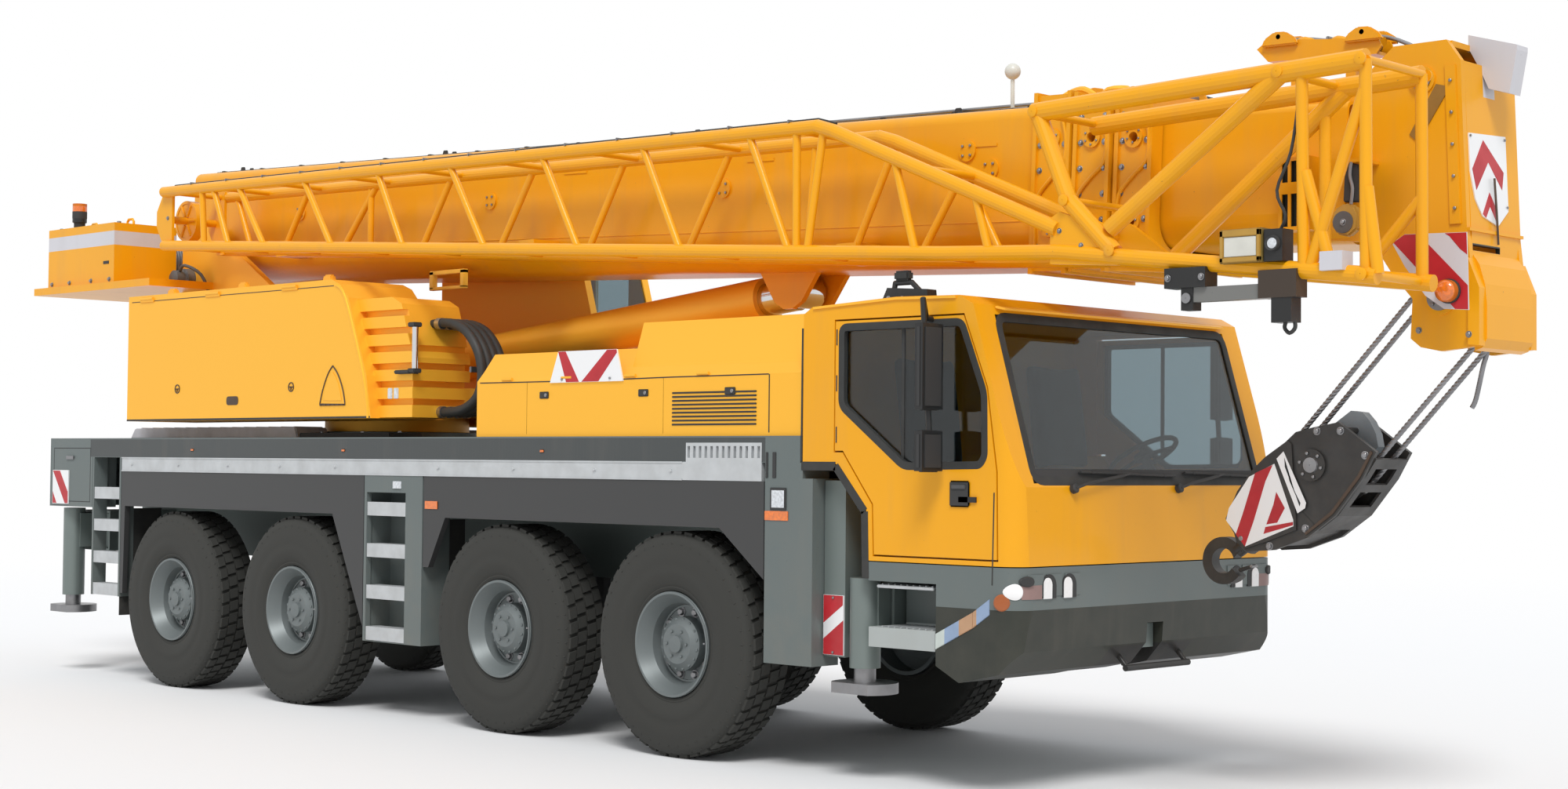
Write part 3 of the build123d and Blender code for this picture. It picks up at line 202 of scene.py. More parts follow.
def ramp(group, value, low, high):
    """Value stretched so that low gives 0 and high gives 1."""
    node = group.nodes.new("ShaderNodeMapRange")
    node.inputs["From Min"].default_value = low
    node.inputs["From Max"].default_value = high
    group.links.new(value, node.inputs["Value"])
    return node.outputs["Result"]


def make_paint_effect():
    """Paint: slow fading, rain streaks, road dust low down, small chips and orange peel."""
    inputs = (("Colour", "Color", (0.8, 0.8, 0.8, 1.0)), ("Dust Colour", "Color", (0.3, 0.3, 0.3, 1.0)),
              ("Dust", "Float", 0.3), ("Fade", "Float", 0.12), ("Chips", "Float", 0.3),
              ("Roughness", "Float", 0.35), ("Peel", "Float", 0.5))
    group, ins, outs = effect("paint_wear", inputs, SURFACE)
    slow = noise_node(group, 0.9, 5.0)
    streak = noise_node(group, 5.0, 4.0, (1.0, 1.0, 0.12))
    fade = times(group, ramp(group, slow, 0.35, 0.7), ins.outputs["Fade"])
    colour = mix_node(group, fade, ins.outputs["Colour"], (0.75, 0.72, 0.66, 1.0), "MULTIPLY")
    rain = times(group, ramp(group, streak, 0.52, 0.8), ins.outputs["Fade"])
    colour = mix_node(group, rain, colour, ins.outputs["Dust Colour"])
    low = ramp(group, object_axes(group)["Z"], 1.75, 0.35)
    patch = ramp(group, noise_node(group, 6.0, 6.0), 0.3, 0.72)
    film = times(group, times(group, low, patch), ins.outputs["Dust"], clamp=True)
    colour = mix_node(group, film, colour, ins.outputs["Dust Colour"])
    spot = ramp(group, noise_node(group, 38.0, 3.0), 0.735, 0.765)
    chip = times(group, spot, ins.outputs["Chips"], clamp=True)
    colour = mix_node(group, chip, colour, (0.06, 0.05, 0.045, 1.0))
    group.links.new(colour, outs.inputs["Colour"])
    dull = times(group, plus(group, film, times(group, rain, 0.6)), 0.4)
    rough = plus(group, ins.outputs["Roughness"], dull, clamp=True)
    group.links.new(rough, outs.inputs["Roughness"])
    peel = times(group, noise_node(group, 160.0, 2.0), ins.outputs["Peel"])
    group.links.new(math_node(group, "SUBTRACT", peel, chip), outs.inputs["Height"])
    return group


def make_box_effect():
    """Mask that is 1 between two corners."""
    group, ins, outs = effect("inside_box", (
        ("Low", "Vector", (0.0, 0.0, 0.0)), ("High", "Vector", (1.0, 1.0, 1.0))), (("Mask", "Float"),))
    place = group.nodes.new("ShaderNodeTexCoord").outputs["Object"]
    least = None
    for first, second in ((place, ins.outputs["Low"]), (ins.outputs["High"], place)):
        gap = group.nodes.new("ShaderNodeVectorMath")
        gap.operation = "SUBTRACT"
        group.links.new(first, gap.inputs[0])
        group.links.new(second, gap.inputs[1])
        split = group.nodes.new("ShaderNodeSeparateXYZ")
        group.links.new(gap.outputs["Vector"], split.inputs["Vector"])
        for axis in ("X", "Y", "Z"):
            reach = split.outputs[axis]
            least = reach if least is None else math_node(group, "MINIMUM", least, reach)
    group.links.new(math_node(group, "GREATER_THAN", least, 0.0), outs.inputs["Mask"])
    return group


def make_worn_effect():
    """Bare metal, rubber or plastic: mottled colour, smears in the gloss and a fine grain."""
    inputs = (("Colour", "Color", (0.3, 0.3, 0.3, 1.0)), ("Dust Colour", "Color", (0.3, 0.3, 0.3, 1.0)),
              ("Dust", "Float", 0.2), ("Mottle", "Float", 0.3), ("Roughness", "Float", 0.5),
              ("Grain Scale", "Float", 90.0), ("Grain", "Float", 1.0))
    group, ins, outs = effect("worn_surface", inputs, SURFACE)
    cloud = noise_node(group, 7.0, 6.0)
    shade = times(group, ramp(group, cloud, 0.3, 0.75), ins.outputs["Mottle"])
    colour = mix_node(group, shade, ins.outputs["Colour"], (0.35, 0.34, 0.33, 1.0), "MULTIPLY")
    low = ramp(group, object_axes(group)["Z"], 2.2, 0.2)
    film = times(group, ramp(group, noise_node(group, 11.0, 7.0), 0.32, 0.7), ins.outputs["Dust"])
    film = times(group, film, plus(group, low, 0.25), clamp=True)
    colour = mix_node(group, film, colour, ins.outputs["Dust Colour"])
    group.links.new(colour, outs.inputs["Colour"])
    smear = times(group, math_node(group, "SUBTRACT", cloud, 0.5), 0.35)
    rough = plus(group, ins.outputs["Roughness"], plus(group, smear, film), clamp=True)
    group.links.new(rough, outs.inputs["Roughness"])
    grain = times(group, noise_node(group, ins.outputs["Grain Scale"], 3.0), ins.outputs["Grain"])
    group.links.new(grain, outs.inputs["Height"])
    return group


def make_weave_effect():
    """Plain weave of a seat cloth as a height and a shade."""
    group, ins, outs = effect("cloth_weave", (("Threads", "Float", 260.0),),
                              (("Shade", "Float"), ("Height", "Float")))
    place = object_axes(group)
    waves = []
    for axis in ("X", "Y"):
        turn = times(group, place[axis], ins.outputs["Threads"])
        waves.append(math_node(group, "SINE", times(group, turn, math.tau)))
    rise = times(group, times(group, place["Z"], ins.outputs["Threads"]), math.tau)
    cross = times(group, waves[0], plus(group, waves[1], math_node(group, "SINE", rise)))
    group.links.new(cross, outs.inputs["Height"])
    group.links.new(plus(group, times(group, cross, 0.2), 0.8), outs.inputs["Shade"])
    return group


def make_plate_effect():
    """Raised tread pattern of a deck plate, as a height."""
    group, ins, outs = effect("deck_plate", (("Bars", "Float", 16.0),), (("Height", "Float"),))
    place = object_axes(group)
    total = plus(group, place["X"], place["Y"])
    spread = math_node(group, "SUBTRACT", place["X"], place["Y"])
    waves = []
    for value, rate in ((total, 1.0), (spread, 3.0), (spread, 1.0), (total, 3.0)):
        turn = times(group, times(group, value, ins.outputs["Bars"]), rate * math.tau)
        waves.append(math_node(group, "SINE", turn))
    first = times(group, math_node(group, "GREATER_THAN", waves[0], 0.0),
                  math_node(group, "GREATER_THAN", waves[1], 0.55))
    second = times(group, math_node(group, "LESS_THAN", waves[0], 0.0),
                   math_node(group, "GREATER_THAN", waves[3], 0.55))
    group.links.new(plus(group, first, second), outs.inputs["Height"])
    return group


# ---------------------------------------------------------------- materials
def new_material(name):
    """Node material and its Principled shader."""
    material = bpy.data.materials.new(name)
    material.use_nodes = True
    return material, material.node_tree, material.node_tree.nodes["Principled BSDF"]


def place_effect(tree, effect_name, **values):
    """One use of a shared effect with its own values; sockets are named with underscores here."""
    node = tree.nodes.new("ShaderNodeGroup")
    node.node_tree = bpy.data.node_groups[effect_name]
    for label, value in values.items():
        socket = node.inputs[label.replace("_", " ").title()]
        if hasattr(value, "is_output"):
            tree.links.new(value, socket)
        else:
            socket.default_value = value
    return node


def bump(tree, shader, height, strength, distance):
    """Bump from a height socket."""
    node = tree.nodes.new("ShaderNodeBump")
    node.inputs["Strength"].default_value = strength
    node.inputs["Distance"].default_value = distance
    tree.links.new(height, node.inputs["Height"])
    tree.links.new(node.outputs["Normal"], shader.inputs["Normal"])


def zoned(tree, colour, zones):
    """Colour that changes inside boxes; zones are (low corner, high corner, colour)."""
    base = tuple(colour)
    for low, high, zone_colour in zones:
        mask = place_effect(tree, "inside_box", low=at(*low), high=at(*high)).outputs["Mask"]
        base = mix_node(tree, mask, base, tuple(zone_colour))
    return base


def paint(name, colour, dust=0.15, fade=0.12, chips=0.25, roughness=0.36, coat=0.1, peel=0.5, zones=(),
          plate=0.0):
    """Painted metal; zones are (low corner, high corner, colour) changes inside a box."""
    material, tree, shader = new_material(name)
    colours = bpy.context.scene.crane_colours
    wear = place_effect(tree, "paint_wear", colour=zoned(tree, colour, zones),
                        dust_colour=tuple(colours.dust), dust=dust, fade=fade, chips=chips,
                        roughness=roughness, peel=peel)
    tree.links.new(wear.outputs["Colour"], shader.inputs["Base Color"])
    tree.links.new(wear.outputs["Roughness"], shader.inputs["Roughness"])
    height = wear.outputs["Height"]
    if plate:
        bars = place_effect(tree, "deck_plate", bars=plate)
        height = plus(tree, height, times(tree, bars.outputs["Height"], 6.0))
    bump(tree, shader, height, 0.25, 0.0006)
    shader.inputs["Coat Weight"].default_value = coat
    shader.inputs["Coat Roughness"].default_value = 0.12
    shader.inputs["Specular IOR Level"].default_value = 0.3
    return material


def worn(name, colour, dust=0.2, mottle=0.3, roughness=0.5, metallic=0.0, grain_scale=90.0, grain=1.0,
         depth=0.0005, zones=()):
    """Bare metal, rubber or plastic; zones are as in paint."""
    material, tree, shader = new_material(name)
    wear = place_effect(tree, "worn_surface", colour=zoned(tree, colour, zones),
                        dust_colour=tuple(bpy.context.scene.crane_colours.dust), dust=dust, mottle=mottle,
                        roughness=roughness, grain_scale=grain_scale, grain=grain)
    tree.links.new(wear.outputs["Colour"], shader.inputs["Base Color"])
    tree.links.new(wear.outputs["Roughness"], shader.inputs["Roughness"])
    bump(tree, shader, wear.outputs["Height"], 0.4, depth)
    shader.inputs["Metallic"].default_value = metallic
    return material


def window(name, tint, roughness=0.02):
    """Tinted glass with faint smears."""
    material, tree, shader = new_material(name)
    smear = noise_node(tree, 3.0, 5.0)
    shader.inputs["Base Color"].default_value = tuple(tint)
    rough = plus(tree, times(tree, ramp(tree, smear, 0.45, 0.9), 0.04), roughness)
    tree.links.new(rough, shader.inputs["Roughness"])
    shader.inputs["Transmission Weight"].default_value = 1.0
    shader.inputs["IOR"].default_value = 1.45
    return material


def lens(name, colour):
    """Moulded lamp lens with fine flutes."""
    material, tree, shader = new_material(name)
    cloud = ramp(tree, noise_node(tree, 60.0, 2.0), 0.3, 0.7)
    shade = mix_node(tree, times(tree, cloud, 0.35), tuple(colour), (0.05, 0.05, 0.05, 1.0))
    tree.links.new(shade, shader.inputs["Base Color"])
    shader.inputs["Roughness"].default_value = 0.12
    shader.inputs["Coat Weight"].default_value = 0.8
    flutes = noise_node(tree, 240.0, 1.0, (1.0, 1.0, 0.1))
    bump(tree, shader, flutes, 0.5, 0.001)
    return material


def cloth(name, colour):
    """Woven seat cloth."""
    material, tree, shader = new_material(name)
    weave = place_effect(tree, "cloth_weave", threads=260.0)
    wear = place_effect(tree, "worn_surface", colour=tuple(colour),
                        dust_colour=tuple(bpy.context.scene.crane_colours.dust), dust=0.2, mottle=0.3,
                        roughness=0.9, grain_scale=60.0, grain=0.5)
    shade = mix_node(tree, 1.0, wear.outputs["Colour"], weave.outputs["Shade"], "MULTIPLY")
    tree.links.new(shade, shader.inputs["Base Color"])
    tree.links.new(wear.outputs["Roughness"], shader.inputs["Roughness"])
    bump(tree, shader, weave.outputs["Height"], 0.4, 0.0006)
    shader.inputs["Sheen Weight"].default_value = 0.3
    return material


def at(station, y=0.0, z=0.0):
    """Point at a distance ahead of the rearmost axle."""
    return Vector((station + SHIFT, y, z))


BLACK, CHARCOAL, PALE = (0.02, 0.02, 0.02, 1.0), (0.028, 0.031, 0.024, 1.0), (0.6, 0.59, 0.62, 1.0)
CREAM, OCHRE = (0.75, 0.7, 0.52, 1.0), (0.24, 0.17, 0.05, 1.0)
STEP, BLUE, CLAY = (0.4, 0.43, 0.42, 1.0), (0.28, 0.38, 0.55, 1.0), (0.5, 0.29, 0.16, 1.0)
# colours that change inside a box: low corner, high corner, colour, in (station, across, height)
DOOR_ZONES_RIGHT = (((6.0, -3.0, 0.0), (9.0, -HALF - 0.002, 4.0), BLACK),)
DOOR_ZONES_LEFT = (((6.0, HALF + 0.002, 0.0), (9.0, 3.0, 4.0), BLACK),)
CAB_ZONES = (((7.355, -1.27, 2.65), (7.725, -1.15, 2.87), BLACK),)
NOSE_ZONES = (((7.8, -1.4, 0.3), (8.6, 1.4, 1.02), CHARCOAL), ((8.02, -0.4, 0.6), (8.4, 0.4, 0.79), BLACK),
              ((7.3, -1.28, 0.765), (7.8, -0.93, 0.895), STEP),
              ((7.3, 0.93, 0.765), (7.8, 1.28, 0.895), STEP))
JIB_ZONES = (((9.579, -1.262, 2.774), (9.811, -1.149, 2.941), OCHRE),
             ((9.6, -1.262, 2.8), (9.79, -1.25, 2.9), CREAM),
             ((9.817, -1.251, 2.774), (9.921, -1.149, 2.931), BLACK),
             ((10.119, -1.251, 2.714), (10.241, -1.149, 2.806), PALE),
             ((9.239, -1.241, 2.671), (9.481, -1.129, 2.773), BLACK),
             ((9.329, -1.226, 2.559), (9.401, -1.149, 2.681), BLACK),
             ((9.359, -1.221, 2.599), (9.801, -1.159, 2.673), (0.18, 0.18, 0.17, 1.0)),
             ((9.779, -1.241, 2.599), (9.991, -1.139, 2.736), (0.05, 0.035, 0.025, 1.0)),
             ((9.849, -1.236, 2.479), (9.961, -1.144, 2.606), BLACK))
HEAD_ZONES = (((10.26, -0.061, 3.66), (10.54, 0.061, 3.995), PALE),
              ((10.03, -0.4525, 2.55), (10.48, -0.4435, 2.96), PALE),
              ((10.31, -0.501, 2.59), (10.43, -0.4525, 2.72), (0.55, 0.14, 0.01, 1.0)),
              ((9.436, -0.462, 3.02), (9.586, -0.438, 3.38), CHARCOAL),
              ((10.32, -0.242, 2.871), (10.42, 0.052, 2.907), CHARCOAL))
TAIL_ZONES = (((-2.42, -1.25, 3.555), (-1.0, 1.25, 3.672), PALE),
              ((-2.12, -1.06, 3.73), (-1.97, -0.9, 3.905), BLACK),
              ((-2.12, -1.06, 3.905), (-1.97, -0.9, 4.02), (0.6, 0.16, 0.01, 1.0)))
STRIP_ZONES = (((7.865, -1.5, 0.7), (7.965, 1.5, 1.2), BLUE), ((7.965, -1.5, 0.7), (8.085, 1.5, 1.2), CLAY),
               ((8.085, -1.5, 0.7), (8.2, 1.5, 1.2), BLUE))
BLOCK_ZONES = (((9.2, -0.3, 0.3), (9.9, 0.3, 1.25), (0.06, 0.04, 0.03, 1.0)),
               ((9.45, -0.036, 1.86), (9.85, 0.036, 2.2), (0.22, 0.25, 0.27, 1.0)))
DECK_ZONES = (((-1.26, -1.4, 1.793), (6.5, 1.4, 1.936), (0.06, 0.066, 0.066, 1.0)),)
PAINTS = (("yellow_paint", "yellow", {"dust": 0.08}),
          ("boom_paint", "yellow", {"dust": 0.1, "fade": 0.16, "chips": 0.35}),
          ("jib_paint", "yellow", {"dust": 0.15, "chips": 0.45, "zones": JIB_ZONES}),
          ("head_paint", "yellow", {"dust": 0.1, "chips": 0.35, "zones": HEAD_ZONES}),
          ("tail_paint", "yellow", {"dust": 0.1, "zones": TAIL_ZONES}),
          ("cab_paint", "yellow", {"dust": 0.08, "zones": CAB_ZONES}),
          ("nose_paint", "grey", {"dust": 0.12, "coat": 0.1, "roughness": 0.45, "zones": NOSE_ZONES}),
          ("grey_paint", "grey", {"dust": 0.25, "coat": 0.1, "roughness": 0.45}),
          ("deck_paint", "grey", {"dust": 0.3, "coat": 0.1, "roughness": 0.45, "plate": 16.0,
                                  "zones": DECK_ZONES}),
          ("dark_paint", "dark", {"dust": 0.1, "coat": 0.0, "roughness": 0.55}),
          ("rim_paint", "rim", {"dust": 0.4, "coat": 0.1, "roughness": 0.4, "chips": 0.5}),
          ("door_paint_right", "yellow", {"dust": 0.08, "zones": DOOR_ZONES_RIGHT}),
          ("door_paint_left", "yellow", {"dust": 0.08, "zones": DOOR_ZONES_LEFT}))
METALS = (("tyre_rubber", "rubber", {"dust": 0.55, "mottle": 0.25, "roughness": 0.78, "grain_scale": 70.0,
                                     "depth": 0.0012}),
          ("seal_rubber", "rubber", {"dust": 0.1, "roughness": 0.7}),
          ("hose_rubber", "rubber", {"dust": 0.1, "roughness": 0.6}),
          ("black_plastic", "plastic", {"dust": 0.12, "roughness": 0.5, "grain_scale": 260.0}),
          ("step_metal", "silver", {"dust": 0.15, "mottle": 0.25, "roughness": 0.42, "metallic": 0.35}),
          ("rope_steel", "steel", {"dust": 0.1, "mottle": 0.4, "roughness": 0.45, "metallic": 0.8}),
          ("pin_steel", "steel", {"dust": 0.1, "mottle": 0.3, "roughness": 0.35, "metallic": 0.9}),
          ("sign_white", "white", {"dust": 0.15, "roughness": 0.4}),
          ("sign_red", "red", {"dust": 0.1, "roughness": 0.4}))
# finishes with a colour of their own
TRIMS = (("chrome_rod", (0.66, 0.67, 0.68), {"dust": 0.02, "mottle": 0.08, "roughness": 0.12, "metallic": 1.0,
                                             "grain": 0.2}),
         ("mirror_glass", (0.6, 0.64, 0.66), {"dust": 0.02, "mottle": 0.05, "roughness": 0.05,
                                              "metallic": 1.0, "grain": 0.0}),
         ("cabin_plastic", (0.075, 0.078, 0.082), {"dust": 0.1, "roughness": 0.65, "grain_scale": 300.0}),
         ("tail_band", (0.6, 0.59, 0.62), {"dust": 0.1, "roughness": 0.55}),
         ("brown_trim", (0.075, 0.045, 0.028), {"dust": 0.1, "roughness": 0.6}),
         ("cast_iron", (0.12, 0.12, 0.12), {"dust": 0.2, "roughness": 0.6, "metallic": 0.4}),
         # painted shadow on the boom head's right side
         ("painted_shadow_paint", (0.3, 0.15, 0.02), {"dust": 0.1, "roughness": 0.5}),
         ("yellow_bright", (0.95, 0.55, 0.05), {"dust": 0.05, "roughness": 0.4}),
         ("dull_yellow", (0.48, 0.27, 0.04), {"dust": 0.2, "roughness": 0.5}),
         ("lamp_ball", (0.7, 0.69, 0.62), {"dust": 0.05, "roughness": 0.3}),
         ("indicator_brown", (0.38, 0.095, 0.018), {"dust": 0.1, "roughness": 0.35}),
         # white painted reflection in the headlamp glass
         ("painted_reflection_white", (0.86, 0.85, 0.84), {"dust": 0.02, "mottle": 0.05, "roughness": 0.25}),
         ("mauve_patch", (0.29, 0.18, 0.165), {"dust": 0.1, "roughness": 0.45}),
         ("strip_paint", (0.56, 0.62, 0.58), {"dust": 0.1, "roughness": 0.4, "zones": STRIP_ZONES}),
         ("block_paint", (0.028, 0.027, 0.026), {"dust": 0.15, "mottle": 0.4, "roughness": 0.45,
                                                 "zones": BLOCK_ZONES}))


def make_materials():
    """Builds the shared effects and every finish of the crane."""
    for builder in (make_paint_effect, make_box_effect, make_worn_effect, make_weave_effect,
                    make_plate_effect):
        builder()
    c = bpy.context.scene.crane_colours
    for name, colour, values in PAINTS:
        paint(name, getattr(c, colour), **values)
    for name, colour, values in METALS:
        worn(name, getattr(c, colour), **values)
    for name, colour, values in TRIMS:
        worn(name, (*colour, 1.0), **values)
    window("cab_glass", c.glass)
    for name, colour in (("amber_lens", c.amber), ("clear_lens", c.clear), ("red_lens", c.red)):
        lens(name, colour)
    cloth("seat_cloth", c.fabric)


NODE_FINISH = {"chassis_frame": "grey_paint", "axles": "dark_paint", "body_panels": "deck_paint",
               "fenders": "dark_paint", "steps_and_rails": "step_metal", "engine_cover": "yellow_paint",
               "cab_shell": "cab_paint", "cab_base": "nose_paint", "cab_glass": "cab_glass",
               "cab_fittings": "cabin_plastic", "lamps": "clear_lens", "sign_plates": "sign_white",
               "door_left": "door_paint_left", "door_right": "door_paint_right",
               "door_glass_left": "cab_glass", "door_glass_right": "cab_glass", "slew_frame": "yellow_paint",
               "upper_hoods": "yellow_paint", "tail_ballast": "tail_paint", "hoist_winch": "pin_steel",
               "crew_cab": "yellow_paint", "crew_cab_glass": "cab_glass", "crew_door": "cab_glass",
               "luff_barrel": "yellow_paint", "luff_rod": "chrome_rod", "boom_base": "boom_paint",
               "lattice_jib": "jib_paint", "boom_tele_1": "boom_paint", "boom_tele_2": "boom_paint",
               "boom_head": "head_paint", "head_sheaves": "pin_steel", "hook_block": "block_paint",}
GROUP_FINISH = (("tyre_", "tyre_rubber"), ("rim_", "rim_paint"), ("knuckle_", "dark_paint"),
                ("outrigger_beam_", "grey_paint"), ("outrigger_jack_", "pin_steel"))


def finish_of(node):
    """Name of the finish of one CAD node."""
    for start, finish in GROUP_FINISH:
        if node.startswith(start):
            return finish
    return NODE_FINISH[node]


# ---------------------------------------------------------------- mesh building
class Shaper:
    """Collects simple solids in one mesh, then makes it a piece that rides on a body."""

    def __init__(self):
        self.mesh = bmesh.new()
        self.finishes = []
        self.current = 0

    def use(self, finish):
        """Faces made from here on have this finish."""
        if finish not in self.finishes:
            self.finishes.append(finish)
        self.current = self.finishes.index(finish)
        return self

    def faces(self, points, loops):
        """Faces from points and index loops."""
        verts = [self.mesh.verts.new(p) for p in points]
        made = []
        for loop in loops:
            face = self.mesh.faces.new([verts[i] for i in loop])
            face.material_index = self.current
            made.append(face)
        return made

    def block(self, first, second, bevel=0.0):
        """Box between two opposite corners, its edges rounded by a small bevel."""
        xs, ys, zs = (sorted(pair) for pair in zip(first, second))
        points = [Vector((x, y, z)) for x in xs for y in ys for z in zs]
        loops = ((0, 1, 3, 2), (4, 6, 7, 5), (0, 4, 5, 1), (2, 3, 7, 6), (0, 2, 6, 4), (1, 5, 7, 3))
        made = self.faces(points, loops)
        self.soften(made, bevel)

    def soften(self, made, bevel):
        """Bevels every edge of some faces."""
        if bevel:
            edges = {edge for face in made for edge in face.edges}
            result = bmesh.ops.bevel(self.mesh, geom=list(edges), offset=bevel, segments=2, affect="EDGES",
                                     clamp_overlap=True)
            for face in result["faces"]:
                face.material_index = self.current

    def prism(self, outline, direction, bevel=0.0):
        """Flat outline of points pushed along a direction."""
        count = len(outline)
        push = Vector(direction)
        points = [Vector(p) for p in outline] + [Vector(p) + push for p in outline]
        loops = [tuple(range(count)), tuple(reversed(range(count, 2 * count)))]
        loops += [(i, i + count, (i + 1) % count + count, (i + 1) % count) for i in range(count)]
        made = self.faces(points, loops)
        self.soften(made, bevel)

    def ring_loops(self, rings, closed_ends=True, cyclic=False):
        """Skin over rings of points that have equal counts."""
        count = len(rings[0])
        points = [p for ring in rings for p in ring]
        loops = []
        spans = len(rings) if cyclic else len(rings) - 1
        for r in range(spans):
            a, b = r * count, ((r + 1) % len(rings)) * count
            loops += [(a + i, a + (i + 1) % count, b + (i + 1) % count, b + i) for i in range(count)]
        if closed_ends and not cyclic:
            loops += [tuple(reversed(range(count))),
                      tuple(range((len(rings) - 1) * count, len(rings) * count))]
        return self.faces(points, loops)

    def tube(self, path, radius, sides=10, cyclic=False):
        """Round bar along a path of points."""
        path = [Vector(p) for p in path]
        rings = []
        side = None
        for i, point in enumerate(path):
            before = path[i - 1] if i or cyclic else point
            after = path[(i + 1) % len(path)] if i < len(path) - 1 or cyclic else point
            along = (after - before).normalized()
            side = (side - along * side.dot(along) if side else along.orthogonal()).normalized()
            other = along.cross(side)
            rings.append([point + (side * math.cos(a) + other * math.sin(a)) * radius
                          for a in (math.tau * k / sides for k in range(sides))])
        for face in self.ring_loops(rings, cyclic=cyclic):
            face.smooth = True

    def turned(self, centre, axis, profile, sides=32):
        """Solid turned about an axis from (radius, distance) pairs; a closed profile makes a ring."""
        axis = Vector(axis).normalized()
        side = axis.orthogonal().normalized()
        other = axis.cross(side)
        centre = Vector(centre)
        rings = []
        for k in range(sides):
            a = math.tau * k / sides
            arm = side * math.cos(a) + other * math.sin(a)
            rings.append([centre + arm * r + axis * d for r, d in profile])
        for face in self.ring_loops(rings, cyclic=True):
            face.smooth = True

    def disc(self, centre, axis, radius, thick, sides=20, rim=0.0):
        """Short cylinder with a small chamfer at its outer edge."""
        rim = rim or min(radius, thick) * 0.2
        self.turned(centre, axis, ((1e-4, 0.0), (radius, 0.0), (radius, thick - rim), (radius - rim, thick),
                                   (1e-4, thick)), sides)

    def bolt(self, centre, axis, radius, washer=True):
        """Hexagon bolt head on a washer."""
        axis = Vector(axis).normalized()
        if washer:
            self.disc(centre, axis, radius * 1.7, radius * 0.25, 12)
        self.turned(Vector(centre) + axis * radius * 0.25, axis,
                    ((1e-4, 0.0), (radius * 1.15, 0.0), (radius * 1.15, radius * 0.8), (radius * 0.9, radius),
                     (1e-4, radius)), 6)

    def bolts(self, places, axis, radius, washer=True):
        """Equal bolts at several places."""
        for place in places:
            self.bolt(place, axis, radius, washer)

    def piece(self, name, body, slot=None, smooth_angle=40.0):
        """Ends the mesh: one object with its finishes, riding on a body."""
        bmesh.ops.recalc_face_normals(self.mesh, faces=self.mesh.faces)
        data = bpy.data.meshes.new(name)
        self.mesh.to_mesh(data)
        self.mesh.free()
        for finish in self.finishes:
            data.materials.append(bpy.data.materials[finish])
        data.set_sharp_from_angle(angle=math.radians(smooth_angle))
        made = bpy.data.objects.new(name, data)
        bpy.context.scene.collection.objects.link(made)
        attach(made, body)
        return made


def arms(count, start=0.0):
    """Unit directions square to a crosswise axle, evenly spaced round it."""
    return [Vector((math.cos(a), 0, math.sin(a))) for a in (math.tau * (k + start) / count
                                                            for k in range(count))]


def around(centre, reach, count, start=0.0):
    """Points evenly spaced on a circle about a crosswise axle."""
    return [centre + arm * reach for arm in arms(count, start)]


def upright(y, points):
    """Points at one distance across, from (station, height) pairs."""
    return [at(x, y, z) for x, z in points]


def shaper(finish):
    """New mesh that starts with one finish."""
    return Shaper().use(finish)


# ---------------------------------------------------------------- finishes of the solids
class CRANE_OT_finish_solids(bpy.types.Operator):
    """Gives every solid of the crane its paint, metal, rubber or glass"""

    bl_idname = "crane.finish_solids"
    bl_label = "Finish the solids"

    def execute(self, context):
        make_materials()
        for name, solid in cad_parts.items():
            solid.data.materials.clear()
            solid.data.materials.append(bpy.data.materials[finish_of(name)])
        return {"FINISHED"}


# ---------------------------------------------------------------- wheels
# tyre section from the bead outwards: radius, distance from the tyre's middle plane
TYRE_SECTION = ((0.321, 0.15), (0.326, 0.163), (0.345, 0.17), (0.352, 0.168), (0.372, 0.179), (0.42, 0.188),
                (0.455, 0.1905), (0.462, 0.188), (0.5, 0.1915), (0.56, 0.19), (0.57, 0.187), (0.61, 0.184),
                (0.64, 0.177), (0.652, 0.168), (0.667, 0.146))
# ends of one rib on the shoulder, as radius and distance from the middle plane
SHOULDER_RIB = ((0.606, 0.181), (0.66, 0.153))
# tread blocks of one pitch: low and high side as parts of the tread's half width, lead along the turn and
# share of the groove's depth
TREAD_ROWS = ((-0.98, -0.58, 0.0, 1.0), (-0.52, -0.05, 0.34, 1.0), (0.05, 0.52, -0.16, 1.0),
              (0.58, 0.98, 0.18, 1.0))


def tyre_mesh(middle, wide, depth, blocks):
    """Tyre with a moulded sidewall, shoulder ribs and tread blocks, about a crosswise axle."""
    centre = (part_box(middle)[0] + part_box(middle)[1]) / 2
    outer = centre.z
    shape = shaper("tyre_rubber")
    base = outer - depth
    section = [(r, d) for r, d in TYRE_SECTION if r < base]
    profile = section + [(base, d) for d in (0.135, -0.135)] + [(r, -d) for r, d in reversed(section)]
    shape.turned(centre, (0, 1, 0), profile, 96)
    for step in range(blocks):
        for low, high, lead, share in TREAD_ROWS:
            start = (step + lead) / blocks * math.tau
            shape.current = 0
            slant = 0.16 / blocks * math.tau
            corners = []
            for radius, grow in ((base - 0.004, 0.0), (base + depth * share, -0.05)):
                for side, turn in ((low, 0.0), (low, 0.74), (high, 0.74), (high, 0.0)):
                    lean = slant * (side - low) / (high - low)
                    edge = (0.5 - turn) * grow * 0.6
                    angle = start + (turn - edge) / blocks * math.tau + lean
                    reach = side * wide * (1.0 + grow * 0.4)
                    corners.append(centre
                                   + Vector((math.cos(angle) * radius, reach, math.sin(angle) * radius)))
            shape.faces(corners, ((0, 1, 2, 3), (4, 7, 6, 5), (0, 4, 5, 1), (1, 5, 6, 2), (2, 6, 7, 3),
                                  (3, 7, 4, 0)))
        angle = (step + 0.4) / blocks * math.tau
        for side in (-1, 1):
            ends = []
            for radius, distance in SHOULDER_RIB:
                point = Vector((math.cos(angle) * radius, side * distance, math.sin(angle) * radius))
                ends.append(centre + point)
            shape.tube(ends, 0.009, 5)
    return shape


